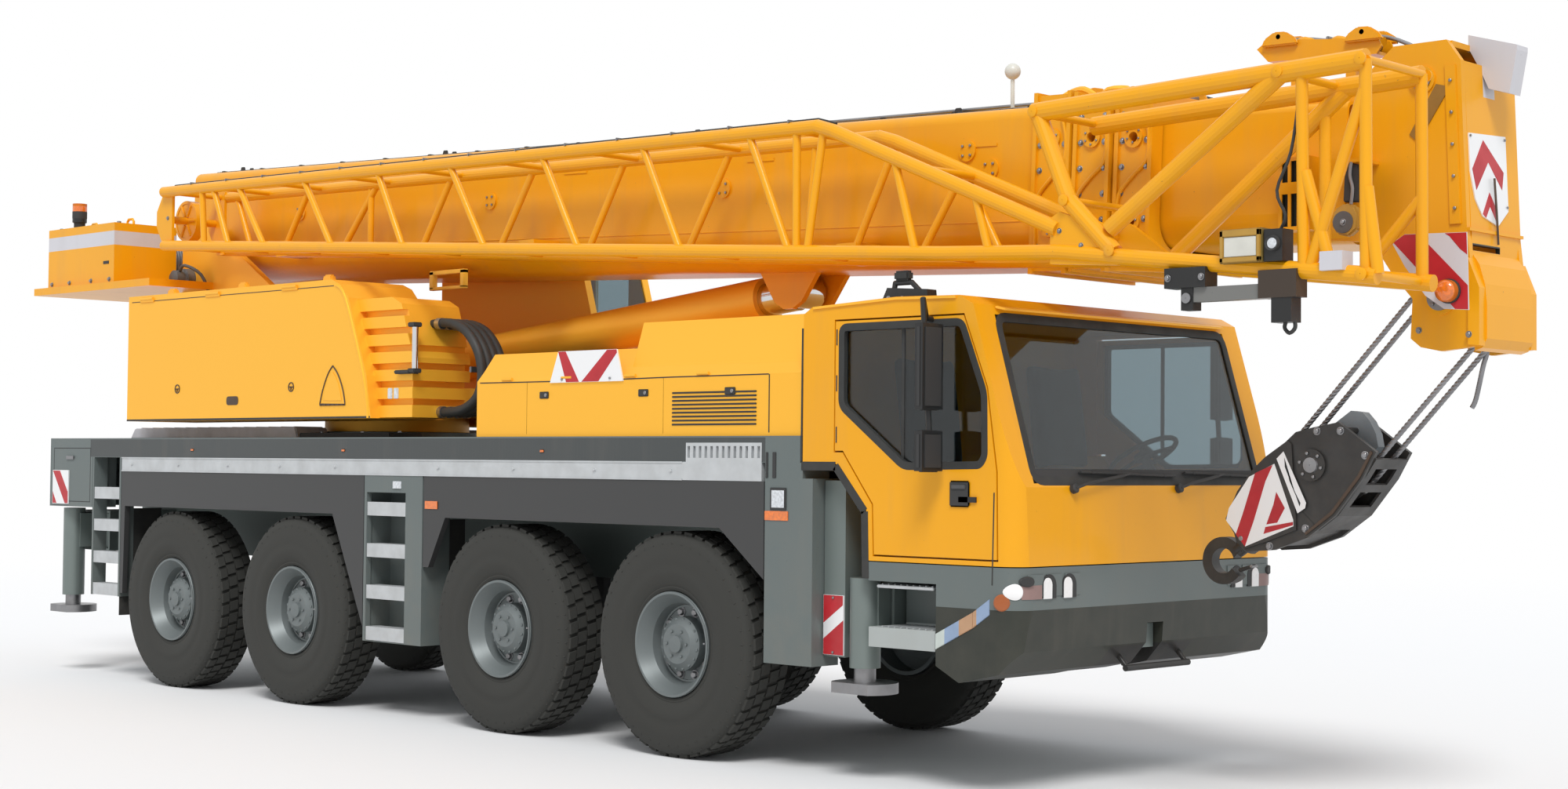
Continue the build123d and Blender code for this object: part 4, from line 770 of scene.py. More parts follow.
class CRANE_OT_tyres(bpy.types.Operator):
    """Builds the eight tyres with their tread and moulded sidewalls"""

    bl_idname = "crane.tyres"
    bl_label = "Tyres"

    def execute(self, context):
        sizes = context.scene.crane_sizes
        for number in range(1, 5):
            for side, _ in SIDES:
                node = f"tyre_{number}_{side}"
                shape = tyre_mesh(node, 0.146, sizes.tread, sizes.tread_blocks)
                made = shape.piece(f"tread_tyre_{number}_{side}", f"wheel_{number}_{side}", "tyre_rubber",
                                   30.0)
                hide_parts(node)
        return {"FINISHED"}


class CRANE_OT_wheel_hardware(bpy.types.Operator):
    """Wheel nuts, hub bolts, lock ring and valve of each wheel"""

    bl_idname = "crane.wheel_hardware"
    bl_label = "Wheel hardware"

    def execute(self, context):
        sizes = context.scene.crane_sizes
        for number in range(1, 5):
            for side, sign in SIDES:
                low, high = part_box(f"rim_{number}_{side}")
                centre = (low + high) / 2
                outer = high.y if sign > 0 else low.y
                axis = Vector((0, sign, 0))
                hub = Vector((centre.x, outer, centre.z))
                shape = shaper("rim_paint")
                # lock ring at the rim's outer edge, as distance in from the outermost face
                rim_edge = hub - axis * 0.006
                shape.turned(rim_edge, axis, ((0.304, -0.02), (0.318, -0.02), (0.321, -0.004), (0.316, 0.004),
                                              (0.306, 0.002)), 64)
                shape.turned(hub - axis * 0.153, axis, ((0.222, 0.0), (0.234, 0.0), (0.234, 0.012),
                                                        (0.222, 0.01)), 48)
                shape.use("pin_steel").bolts(around(hub - axis * 0.152, 0.198, 10), axis, sizes.nut)
                shape.use("rim_paint").bolts(around(hub - axis * 0.083, 0.15, 16, 0.5), axis, 0.01, False)
                shape.bolts(around(hub - axis * 0.051, 0.085, 6), axis, 0.008, False)
                shape.turned(hub - axis * 0.051, axis, ((0.001, 0.0), (0.055, 0.0), (0.052, 0.016),
                                                        (0.001, 0.02)), 32)
                shape.use("pin_steel")
                valve = hub - axis * 0.06 + Vector((0.262, 0, 0.02))
                shape.tube((valve - axis * 0.03, valve + axis * 0.02, valve + axis * 0.045
                            + Vector((0.012, 0, 0))), 0.006, 8)
                shape.piece(f"hub_hardware_{number}_{side}", f"wheel_{number}_{side}", "rim_paint")
        return {"FINISHED"}


# ---------------------------------------------------------------- carrier
class CRANE_OT_carrier_hardware(bpy.types.Operator):
    """Side lamps, reflectors, grips, bolts, mudflaps and seams of the carrier"""

    bl_idname = "crane.carrier_hardware"
    bl_label = "Carrier hardware"

    def execute(self, context):
        sizes = context.scene.crane_sizes
        bolt = sizes.bolt
        for side, sign in SIDES:
            face = sign * HALF
            out = Vector((0, sign, 0))
            shape = shaper("black_plastic")

            def pad(x0, x1, z0, z1, thick, finish, bevel=0.003):
                """Thin block on the carrier's side."""
                shape.use(finish)
                low = face if sign > 0 else face - thick
                shape.block(at(x0, low, z0), at(x1, low + thick, z1), bevel)

            # framed lamp, reflectors and grips: rear, front, low and high limits
            pad(6.545, 6.675, 1.515, 1.645, 0.007, "black_plastic")
            pad(6.5, 6.69, 1.455, 1.51, 0.005, "amber_lens")
            pad(3.26, 3.4, 1.455, 1.51, 0.004, "amber_lens")
            pad(6.505, 6.525, 1.7, 1.85, 0.004, "black_plastic")
            pad(6.56, 6.59, 1.7, 1.85, 0.004, "black_plastic")
            for x in (4.49, 2.3, 0.3):
                pad(x - 0.02, x + 0.02, 1.842, 1.862, 0.006, "amber_lens")
            shape.use("step_metal")
            for x in (-0.6, 0.1, 0.8, 1.5, 2.2, 3.4, 4.2, 5.0, 5.7):
                shape.bolt(at(x, face, 1.735), out, bolt * 0.8)
            # folded lips of the light rail
            pad(-0.755, 5.8, 1.782, 1.792, 0.005, "step_metal", 0.001)
            pad(-0.755, 5.8, 1.678, 1.688, 0.005, "step_metal", 0.001)
            # locker seams and grips of the rear box
            shape.use("black_plastic")
            for x in (-1.86, -1.26):
                pad(x, x + 0.006, 1.42, 1.86, 0.001, "black_plastic", 0.0)
            for z in (1.42, 1.86):
                pad(-1.86, -1.254, z, z + 0.006, 0.001, "black_plastic", 0.0)
            pad(-1.64, -1.52, 1.77, 1.8, 0.012, "pin_steel")
            # mudflaps behind the wheels of each pair
            shape.use("hose_rubber")
            for x in (-0.775, 3.222):
                shape.block(at(x - 0.008, sign * 1.265, 0.52), at(x + 0.002, sign * 0.9, 1.38), 0.002)
            shape.piece(f"carrier_hardware_{side}", "carrier", "grey_paint")
        return {"FINISHED"}


# ---------------------------------------------------------------- driver's cab
SCREEN_FOOT = (8.33, 1.69)
SCREEN_HEAD = (8.06, 2.6)
SCREEN_HALF = 1.11
# seats: their inner and outer sides, as distances across
SEAT_SIDES = (0.37, 0.85)
# each wiper's pivot, as a distance across, and its reach
WIPERS = ((-0.78, 0.98), (0.22, 0.86))
STEERING_WHEEL = 0.211
# side window in (station, height)
WINDOW = ((7.09, 2.56), (7.09, 2.11), (7.56, 1.77), (8.1, 1.78), (8.135, 1.83), (8.13, 2.17),
          (7.97, 2.56))


def on_screen(up, across, out):
    """Point on the windscreen: share of the way up, distance across, distance outwards."""
    dx, dz = SCREEN_HEAD[0] - SCREEN_FOOT[0], SCREEN_HEAD[1] - SCREEN_FOOT[1]
    run = math.hypot(dx, dz)
    return at(SCREEN_FOOT[0] + dx * up + out * dz / run, across, SCREEN_FOOT[1] + dz * up - out * dx / run)


def rounded(points, radius, steps=5):
    """Closed outline with its corners rounded."""
    made = []
    count = len(points)
    for i, point in enumerate(points):
        before, after = points[i - 1], points[(i + 1) % count]
        back, ahead = (before - point), (after - point)
        reach = min(radius, back.length * 0.45, ahead.length * 0.45)
        start, end = point + back.normalized() * reach, point + ahead.normalized() * reach
        for k in range(steps + 1):
            t = k / steps
            made.append(start * (1 - t) ** 2 + point * 2 * t * (1 - t) + end * t * t)
    return made


def inset(points, distance, normal):
    """Closed outline drawn in by a distance, in its own plane."""
    made = []
    count = len(points)
    for i, point in enumerate(points):
        along = (points[(i + 1) % count] - points[i - 1]).normalized()
        made.append(point + normal.cross(along) * distance)
    return made


def frame_strip(shape, outline, normal, inner, proud, back, outer=0.0):
    """Flat rubber frame: a strip along a closed outline, between an outer and an inner reach."""
    outside = inset(outline, -outer, normal)
    inside = inset(outline, inner, normal)
    middle = inset(outline, inner * 0.35, normal)
    rings = []
    for i in range(len(outline)):
        rings.append([outside[i] - normal * back, outside[i] + normal * proud * 0.4,
                      middle[i] + normal * proud, inside[i] + normal * proud * 0.5,
                      inside[i] - normal * back])
    for face in shape.ring_loops(rings, cyclic=True):
        face.smooth = True


class CRANE_OT_windscreen_trim(bpy.types.Operator):
    """Rubber round the windscreen, its black lower band and wipers"""

    bl_idname = "crane.windscreen_trim"
    bl_label = "Windscreen trim"

    def execute(self, context):
        seal = context.scene.crane_sizes.seal
        normal = (on_screen(0.5, 0, 1.0) - on_screen(0.5, 0, 0.0)).normalized()
        corners = [on_screen(0.0, -SCREEN_HALF, 0), on_screen(0.0, SCREEN_HALF, 0),
                   on_screen(1.0, SCREEN_HALF, 0), on_screen(1.0, -SCREEN_HALF, 0)]
        shape = shaper("seal_rubber")
        frame_strip(shape, rounded(corners, 0.09), normal, seal * 1.5, 0.005, 0.01, 0.012)
        # black printed band low on the glass
        shape.use("black_plastic")
        band = [on_screen(u, y, 0.0005) for u, y in ((0.02, -1.09), (0.02, 1.09), (0.085, 1.08),
                                                     (0.085, -1.08))]
        shape.prism(band, normal * 0.0015)
        shape.piece("windscreen_seal", "carrier", "glass")
        for number, (foot, reach) in enumerate(WIPERS, start=1):
            shape = shaper("black_plastic")
            pivot = on_screen(-0.035, foot, 0.014)
            shape.disc(pivot - normal * 0.012, normal, 0.026, 0.03)
            elbow = on_screen(0.035, foot + reach * 0.45, 0.045)
            shape.tube((pivot + normal * 0.012, on_screen(-0.01, foot + 0.1, 0.04), elbow), 0.009, 8)
            first, last = on_screen(0.062, foot + 0.08, 0.022), on_screen(0.04, foot + reach, 0.022)
            shape.tube((first, (first + last) / 2 + normal * 0.004, last), 0.007, 6)
            across = normal.cross((last - first).normalized())
            blade = [first - normal * 0.018, last - normal * 0.018, last - normal * 0.004,
                     first - normal * 0.004]
            shape.prism([p - across * 0.002 for p in blade], across * 0.004)
            for share in (0.12, 0.38, 0.62, 0.88):
                point = first.lerp(last, share)
                shape.block(point - Vector((0.008, 0.014, 0.008)), point + Vector((0.008, 0.014, 0.008)),
                            0.003)
            shape.tube((elbow, first.lerp(last, 0.5) + normal * 0.006), 0.006, 6)
            shape.piece(f"wiper_{number}", "carrier", "black_plastic")
        return {"FINISHED"}


class CRANE_OT_door_trim(bpy.types.Operator):
    """Window rubbers, handles, mirror shells and mirror glass of both doors"""

    bl_idname = "crane.door_trim"
    bl_label = "Door trim"

    def execute(self, context):
        seal = context.scene.crane_sizes.seal
        for side, sign in SIDES:
            face = sign * HALF
            out = Vector((0, sign, 0))
            body = f"door_{side}"
            outline = rounded(upright(face, WINDOW), 0.045)
            if sign > 0:
                outline.reverse()
            shape = shaper("seal_rubber")
            frame_strip(shape, outline, out, seal, 0.003, 0.04, 0.016)
            # pull in its dark recess, and the lock below it
            shape.use("black_plastic").block(at(7.895, face + sign * 0.012, 1.56),
                                             at(8.032, face - sign * 0.002, 1.7), 0.01)
            shape.use("cabin_plastic").block(at(7.915, face + sign * 0.02, 1.655),
                                             at(8.012, face + sign * 0.01, 1.68), 0.004)
            shape.piece(f"door_seal_{side}", body, "black_plastic")
            # sliding pane's upright divider
            shape = shaper("seal_rubber")
            shape.block(at(7.52, face - sign * 0.024, 1.8), at(7.545, face - sign * 0.038, 2.555), 0.002)
            shape.piece(f"window_bar_{side}", body, "black_plastic")
            for kind, (z0, z1) in {"main": (2.08, 2.54), "wide": (1.75, 1.965)}.items():
                shape = shaper("black_plastic")
                shape.block(at(7.824, sign * 1.326, z0 - 0.005), at(7.891, sign * 1.504, z1 + 0.005), 0.024)
                shape.use("mirror_glass").block(at(7.8215, sign * 1.342, z0 + 0.014),
                                                at(7.83, sign * 1.488, z1 - 0.014), 0.002)
                shape.piece(f"mirror_{kind}_{side}", body, "black_plastic")
        return {"FINISHED"}


class CRANE_OT_cab_trim(bpy.types.Operator):
    """Seams, arch rubber, steps, bracket pad, roof visor and corner strips of the cab"""

    bl_idname = "crane.cab_trim"
    bl_label = "Cab trim"

    def execute(self, context):
        for side, sign in SIDES:
            face = sign * HALF
            out = Vector((0, sign, 0))
            shape = shaper("seal_rubber")

            def strip(points, wide, thick, finish):
                """Flat strip on the cab's side along points in (station, height)."""
                shape.use(finish)
                path = upright(face, points)
                for start, end in zip(path, path[1:]):
                    across = (end - start).normalized().cross(out) * wide / 2
                    ring = [start - across, end - across, end + across, start + across]
                    shape.prism([p - out * 0.001 for p in ring], out * (thick + 0.001))

            # black rubber under the stepped rear edge of the cab
            strip(((6.79, 1.772), (7.055, 1.772), (7.278, 1.522), (7.288, 1.15)), 0.05, 0.002, "seal_rubber")
            # upright seam by the front corner and the slit beside the grey band
            strip(((8.196, 1.64), (8.186, 1.15)), 0.008, 0.001, "seal_rubber")
            strip(((6.793, 2.56), (6.79, 1.8)), 0.012, 0.002, "seal_rubber")
            # roof gutter
            strip(((6.88, 2.672), (7.5, 2.7), (7.93, 2.69)), 0.014, 0.01, "yellow_paint")
            # ribbed treads on the boarding step, and the upper step's board
            shape.use("step_metal")
            low, high = sorted((sign * 0.985, sign * 1.262))
            shape.block(at(7.36, low, 1.102), at(7.77, high, 1.12), 0.004)
            for z in (0.885, 1.12):
                for k in range(9):
                    x = 7.385 + k * 0.045
                    shape.block(at(x - 0.006, low + 0.02, z - 0.001), at(x + 0.006, high - 0.02, z + 0.006),
                                0.002)
            shape.piece(f"cab_side_trim_{side}", "carrier", "black_plastic")
        # rubber pads and bolts on the roof bracket
        shape = shaper("seal_rubber")
        shape.block(at(7.455, -1.252, 2.8), at(7.565, -1.198, 2.856), 0.012)
        shape.use("pin_steel").bolts(upright(-1.25, ((7.42, 2.705), (7.52, 2.7), (7.62, 2.695))), (0, -1, 0),
                                     0.009)
        shape.piece("roof_bracket_pad", "carrier", "black_plastic")
        # visor lip over the windscreen
        shape = shaper("yellow_paint")
        head = [on_screen(1.035, y, 0.004) for y in (-1.1, 1.1)]
        lip = [head[0], head[1], head[1] + Vector((0.045, -0.03, -0.012)),
               head[0] + Vector((0.045, 0.03, -0.012))]
        shape.prism(lip, (0, 0, 0.014), 0.003)
        shape.piece("roof_visor", "carrier", "yellow_paint")
        # bumper: reflective corner strips and indicators
        shape = shaper("seal_rubber")
        for side, sign in SIDES:
            shape.use("strip_paint")
            strip_path = ((7.8, 0.83, 1.27), (8.06, 0.96, 1.272), (8.17, 1.035, 1.268))
            for (x0, z0, y0), (x1, z1, y1) in zip(strip_path, strip_path[1:]):
                ring = [at(x0, sign * y0, z0 - 0.042), at(x1, sign * y1, z1 - 0.042),
                        at(x1, sign * y1, z1 + 0.042), at(x0, sign * y0, z0 + 0.042)]
                shape.prism(ring, Vector((0, sign * 0.01, 0)), 0.002)
            shape.use("indicator_brown").disc(
                at(8.235, sign * (HALF - 0.028), 1.06), (0.6, sign, 0), 0.046, 0.03, 24)
        shape.piece("bumper_trim", "carrier", "black_plastic")
        return {"FINISHED"}


def bulge(share):
    """Height of a crowned pad at a share of the way over it, never quite 0 at its edges."""
    return math.sin(math.pi * min(max(share, 0.02), 0.98)) ** 0.5


def soft_block(name, corner, across, along, up, nx=12, ny=12):
    """Crowned pad whose sides pull in between the corners, with two sewn channels."""
    data = bpy.data.meshes.new(name)
    mesh = bmesh.new()
    layers = []
    for level in range(5):
        t = level / 4
        rows = []
        for i in range(nx + 1):
            u = i / nx
            row = []
            for j in range(ny + 1):
                v = j / ny
                pinch = 0.03 * (math.sin(math.pi * v) * (2 * u - 1) ** 2) * (1 if level in (1, 2, 3) else 0.3)
                crown = bulge(u) * bulge(v)
                channel = sum(math.exp(-((v - place) / 0.022) ** 2) for place in (0.3, 0.7))
                lift = (0.78 + 0.22 * crown - 0.07 * channel * crown) if level == 4 else t * 0.78
                side = 0.5 + (u - 0.5) * (1 - 2 * pinch)
                round_in = 0.04 if level in (0, 4) else 0.0
                side = 0.5 + (side - 0.5) * (1 - round_in)
                deep = 0.5 + (v - 0.5) * (1 - round_in)
                row.append(mesh.verts.new(corner + across * deep + along * side + up * lift))
            rows.append(row)
        layers.append(rows)
    for a, b in zip(layers, layers[1:]):
        edge_a = a[0] + [r[-1] for r in a[1:]] + list(reversed(a[-1][:-1])) + [r[0]
                                                                               for r in reversed(a[1:-1])]
        edge_b = b[0] + [r[-1] for r in b[1:]] + list(reversed(b[-1][:-1])) + [r[0]
                                                                               for r in reversed(b[1:-1])]
        for i in range(len(edge_a)):
            k = (i + 1) % len(edge_a)
            mesh.faces.new((edge_a[i], edge_a[k], edge_b[k], edge_b[i])).smooth = True
    for rows in (layers[0], layers[-1]):
        for i in range(nx):
            for j in range(ny):
                mesh.faces.new((rows[i][j], rows[i + 1][j], rows[i + 1][j + 1], rows[i][j + 1])).smooth = True
    loose = [v for v in mesh.verts if not v.link_faces]
    bmesh.ops.delete(mesh, geom=loose, context="VERTS")
    bmesh.ops.recalc_face_normals(mesh, faces=mesh.faces)
    mesh.to_mesh(data)
    mesh.free()
    data.materials.append(bpy.data.materials["seat_cloth"])
    made = bpy.data.objects.new(name, data)
    bpy.context.scene.collection.objects.link(made)
    smooth = made.modifiers.new("soften", "SUBSURF")
    smooth.levels = smooth.render_levels = 1
    return made


def padded_seat(name, body, corner, across, along, up):
    """Soft block that rides on a body as upholstery."""
    soft = soft_block(name, corner, across, along, up)
    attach(soft, body)


class CRANE_OT_cab_inside(bpy.types.Operator):
    """Dashboard, steering wheel, seats and wheel-side fittings seen through the glass"""

    bl_idname = "crane.cab_inside"
    bl_label = "Cab inside"

    def execute(self, context):
        shape = shaper("cabin_plastic")
        dash = upright(-1.15, ((8.0, 1.3), (8.27, 1.3), (8.255, 1.64), (8.18, 1.69), (7.96, 1.65)))
        shape.prism(dash, (0, 2.3, 0), 0.02)
        shape.block(at(7.955, 0.36, 1.66), at(8.09, 0.86, 1.76), 0.03)
        shape.use("black_plastic")
        for y in (-0.95, -0.45, 0.05, 1.02):
            shape.disc(at(7.962, y, 1.6), (-1, 0, 0.12), 0.045, 0.01, 20)
        hub = at(7.83, 0.61, 1.85)
        tilt = Vector((-0.5, 0, 0.85)).normalized()
        side, up = Vector((0, 1, 0)), Vector((0, 1, 0)).cross(tilt)
        ring = [hub + (side * math.cos(a) + up * math.sin(a)) * STEERING_WHEEL
                for a in (math.tau * k / 40 for k in range(40))]
        shape.tube(ring, 0.0155, 10, cyclic=True)
        for turn in (0.5, 2.6, 4.71):
            shape.tube((hub, hub + (side * math.cos(turn) + up * math.sin(turn)) * 0.205), 0.013, 8)
        shape.disc(hub - tilt * 0.02, tilt, 0.06, 0.036, 28)
        shape.tube((hub, at(8.04, 0.61, 1.5)), 0.03, 14)
        dash_piece = shape.piece("dashboard", "carrier", "black_plastic")
        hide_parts("cab_fittings")
        for side_name, sign in SIDES:
            low, high = sorted(sign * y for y in SEAT_SIDES)
            padded_seat(f"seat_cushion_{side_name}", "carrier", at(7.3, low, 1.645),
                        Vector((0, high - low, 0)), Vector((0.45, 0, 0)), Vector((0, 0, 0.12)))
            padded_seat(f"seat_back_{side_name}", "carrier", at(7.175, low + 0.01, 1.77),
                        Vector((0, high - low - 0.02, 0)), Vector((-0.08, 0, 0.625)),
                        Vector((0.115, 0, 0.01)))
            shape = shaper("black_plastic")
            shape.block(at(7.42, low + 0.11, 1.31), at(7.64, high - 0.11, 1.635), 0.02)
            shape.block(at(7.3, low + 0.01, 1.625), at(7.74, high - 0.01, 1.65), 0.008)
            shape.piece(f"seat_base_{side_name}", "carrier", "black_plastic")
        return {"FINISHED"}


# ---------------------------------------------------------------- signs
# distance across to the cover's sides, thickness of a sign's plate and of one reflective sheet on it
COVER = 1.25
PLATE = 0.01
SHEET = 0.0011
# front post signs stand between the box and the cab, one further forward than the other
POST_X = {"right": 6.892, "left": 7.092}
POST_Y = 1.18
# red bars of the cover's sign, in (station, height)
COVER_BARS = (((4.62, 2.488), (4.692, 2.488), (4.825, 2.292), (4.7, 2.292)),
              ((4.849, 2.292), (5.01, 2.292), (5.182, 2.468), (5.178, 2.488), (5.09, 2.488)))
REAR_BARS = (((-1.855, 1.675), (-1.74, 1.675), (-1.605, 1.5), (-1.605, 1.405), (-1.65, 1.405)),
             ((-1.855, 1.5), (-1.79, 1.405), (-1.855, 1.405)))
# red bars of the front posts, in (distance across from the sign's outer edge, height)
POST_BARS = (((0.002, 1.038), (0.15, 1.038), (0.15, 0.985), (0.002, 0.88)),
             ((0.002, 0.79), (0.154, 0.9), (0.154, 0.702), (0.002, 0.702)))
# head side sign, in (station, height)
HEAD_SIGN_BARS = (((10.068, 2.912), (10.128, 2.948), (10.205, 2.946), (10.466, 2.68), (10.468, 2.563),
                   (10.4, 2.567), (10.197, 2.776)),
                  ((10.345, 2.941), (10.459, 2.938), (10.463, 2.83), (10.425, 2.86), (10.37, 2.925)))
# sign on the front of the head, in (distance across, height)
CHEVRON_PLATE = ((-0.246, 3.458), (0.15, 3.48), (0.15, 3.096), (0.03, 3.01), (-0.134, 3.05), (-0.205, 3.13),
                 (-0.246, 3.27))
CHEVRON_BARS = (((-0.099, 3.436), (-0.053, 3.329), (-0.191, 3.176), (-0.226, 3.279)),
                ((-0.099, 3.436), (0.111, 3.291), (0.087, 3.2), (-0.053, 3.329)),
                ((-0.053, 3.176), (-0.053, 3.105), (-0.1, 3.044), (-0.134, 3.06)),
                ((-0.053, 3.176), (0.024, 3.09), (0.024, 3.018), (-0.053, 3.105)))
# hook block sign, in (station, height)
BLOCK_WHITE = ((8.938, 1.498), (8.955, 1.565), (9.08, 1.735), (9.2, 1.79), (9.236, 1.806), (9.35, 1.512),
               (9.352, 1.478), (9.058, 1.362))
BLOCK_BARS = (((9.118, 1.755), (9.226, 1.8), (9.182, 1.713), (9.11, 1.5), (9.056, 1.362), (8.999, 1.425),
               (9.043, 1.538)),
              ((9.248, 1.656), (9.3, 1.572), (9.254, 1.494), (9.188, 1.483), (9.231, 1.589)),
              ((9.182, 1.469), (9.349, 1.5), (9.35, 1.483), (9.171, 1.432)))
BLOCK_FIN = ((9.291, 1.872), (9.249, 1.833), (9.376, 1.546), (9.421, 1.574), (9.427, 1.602))
BLOCK_SLIT = ((9.297, 1.838), (9.329, 1.715), (9.394, 1.6), (9.389, 1.583), (9.366, 1.64), (9.3, 1.79))


def overlay(shape, finish, outlines, place, out, lift=0.0):
    """Thin reflective sheets laid on a plate, outlines in the plate's own directions."""
    shape.use(finish)
    for outline in outlines:
        base = [place(u, v) + out * lift for u, v in outline]
        shape.prism([p - out * 0.0004 for p in base], out * 0.0015)


class CRANE_OT_signs(bpy.types.Operator):
    """Red bars of the warning signs on the cover, rear corners, front posts, boom head and hook block"""

    bl_idname = "crane.signs"
    bl_label = "Warning signs"

    def execute(self, context):
        for side, sign in SIDES:
            out = Vector((0, sign, 0))
            shape = shaper("sign_red")
            overlay(shape, "sign_red", COVER_BARS, lambda x, z: at(x, sign * (COVER + PLATE), z), out)
            overlay(shape, "sign_red", REAR_BARS, lambda x, z: at(x, sign * (HALF + PLATE), z), out)
            post_x, post_y = POST_X[side], sign * (POST_Y + PLATE)
            overlay(shape, "sign_red", POST_BARS, lambda u, z: at(post_x + u, post_y, z), out)
            shape.use("pin_steel").bolts(
                upright(sign * (COVER + PLATE), ((4.66, 2.31), (5.12, 2.31))), out, 0.007, False)
            for z in (0.715, 1.025):
                shape.bolt(at(post_x + 0.078, post_y, z), out, 0.007, False)
            shape.piece(f"carrier_signs_{side}", "carrier", "sign_white")
        # boom head: side sign with its lamp, and the sign on the front
        shape = shaper("sign_red")
        out = Vector((0, -1, 0))
        overlay(shape, "sign_red", HEAD_SIGN_BARS, lambda x, z: at(x, -0.452, z), out)
        shape.use("black_plastic")
        lamp = at(10.37, -0.498, 2.655)
        shape.turned(lamp + Vector((0, 0.044, 0)), out, ((0.053, 0.0), (0.061, 0.0), (0.061, 0.012),
                                                         (0.053, 0.014)), 32)
        shape.use("amber_lens").turned(lamp, out, ((0.001, 0.0), (0.052, 0.0), (0.046, 0.012), (0.028, 0.02),
                                                   (0.001, 0.022)), 32)
        shape.piece("head_side_sign", "boom_head", "sign_white")

        def on_face(y, z):
            """Point on the sloping front face of the head."""
            return at(10.385 - (z - 2.9) * 0.0435, y, z)

        forward = Vector((0.999, 0.0, 0.0435))
        shape = shaper("sign_white")
        shape.prism([on_face(y, z) - forward * 0.001 for y, z in CHEVRON_PLATE], forward * 0.008, 0.001)
        overlay(shape, "sign_red", CHEVRON_BARS, on_face, forward, 0.00704)
        shape.use("pin_steel")
        for y, z in ((-0.235, 3.445), (0.135, 3.46), (0.135, 3.115)):
            shape.bolt(on_face(y, z) + forward * 0.007, forward, 0.006, False)
        shape.piece("head_front_sign", "boom_head", "sign_white")
        # hook block
        shape = shaper("sign_white")

        def on_cheek(x, z):
            """Point on the right cheek of the hook block."""
            return at(x, -0.202, z)

        overlay(shape, "sign_white", (BLOCK_WHITE, BLOCK_FIN), on_cheek, out)
        overlay(shape, "sign_red", BLOCK_BARS, on_cheek, out, SHEET)
        overlay(shape, "black_plastic", (BLOCK_SLIT,), on_cheek, out, SHEET)
        shape.piece("hook_block_sign", "hook_block", "sign_white")
        return {"FINISHED"}


# ---------------------------------------------------------------- superstructure
# pointed arch pressed in the right hood, in (station, height)
ARCH = ((2.154, 2.458), (2.106, 2.412), (2.066, 2.35), (2.028, 2.27), (2.0, 2.184), (2.155, 2.18),
        (2.313, 2.178), (2.288, 2.27), (2.25, 2.35), (2.206, 2.412))
# hoses that loop in front of the right grille, in (station, height), and their distances across
HOSE_LOOP = ((2.9, 2.745), (3.1, 2.745), (3.28, 2.68), (3.41, 2.54), (3.455, 2.38), (3.42, 2.24),
             (3.28, 2.15), (3.1, 2.125), (2.95, 2.125))
HOSE_ROWS = (-0.955, -0.885, -0.815, -0.745)
# rope wound on the winch: the drum's radius and half length, turns, the first turn's place and their spacing
DRUM_RADIUS, DRUM_HALF = 0.188, 0.44
ROPE_TURNS, FIRST_TURN, TURN_PITCH = 36, -0.428, 0.0244


def curved(points, steps=4):
    """Smooth path through points."""
    points = [Vector(p) for p in points]
    made = []
    for i in range(len(points) - 1):
        a, b = points[max(i - 1, 0)], points[i]
        c, d = points[i + 1], points[min(i + 2, len(points) - 1)]
        for k in range(steps):
            t = k / steps
            made.append(0.5 * (2 * b + (c - a) * t + (2 * a - 5 * b + 4 * c - d) * t * t
                               + (3 * b - a - 3 * c + d) * t ** 3))
    return made + [points[-1]]


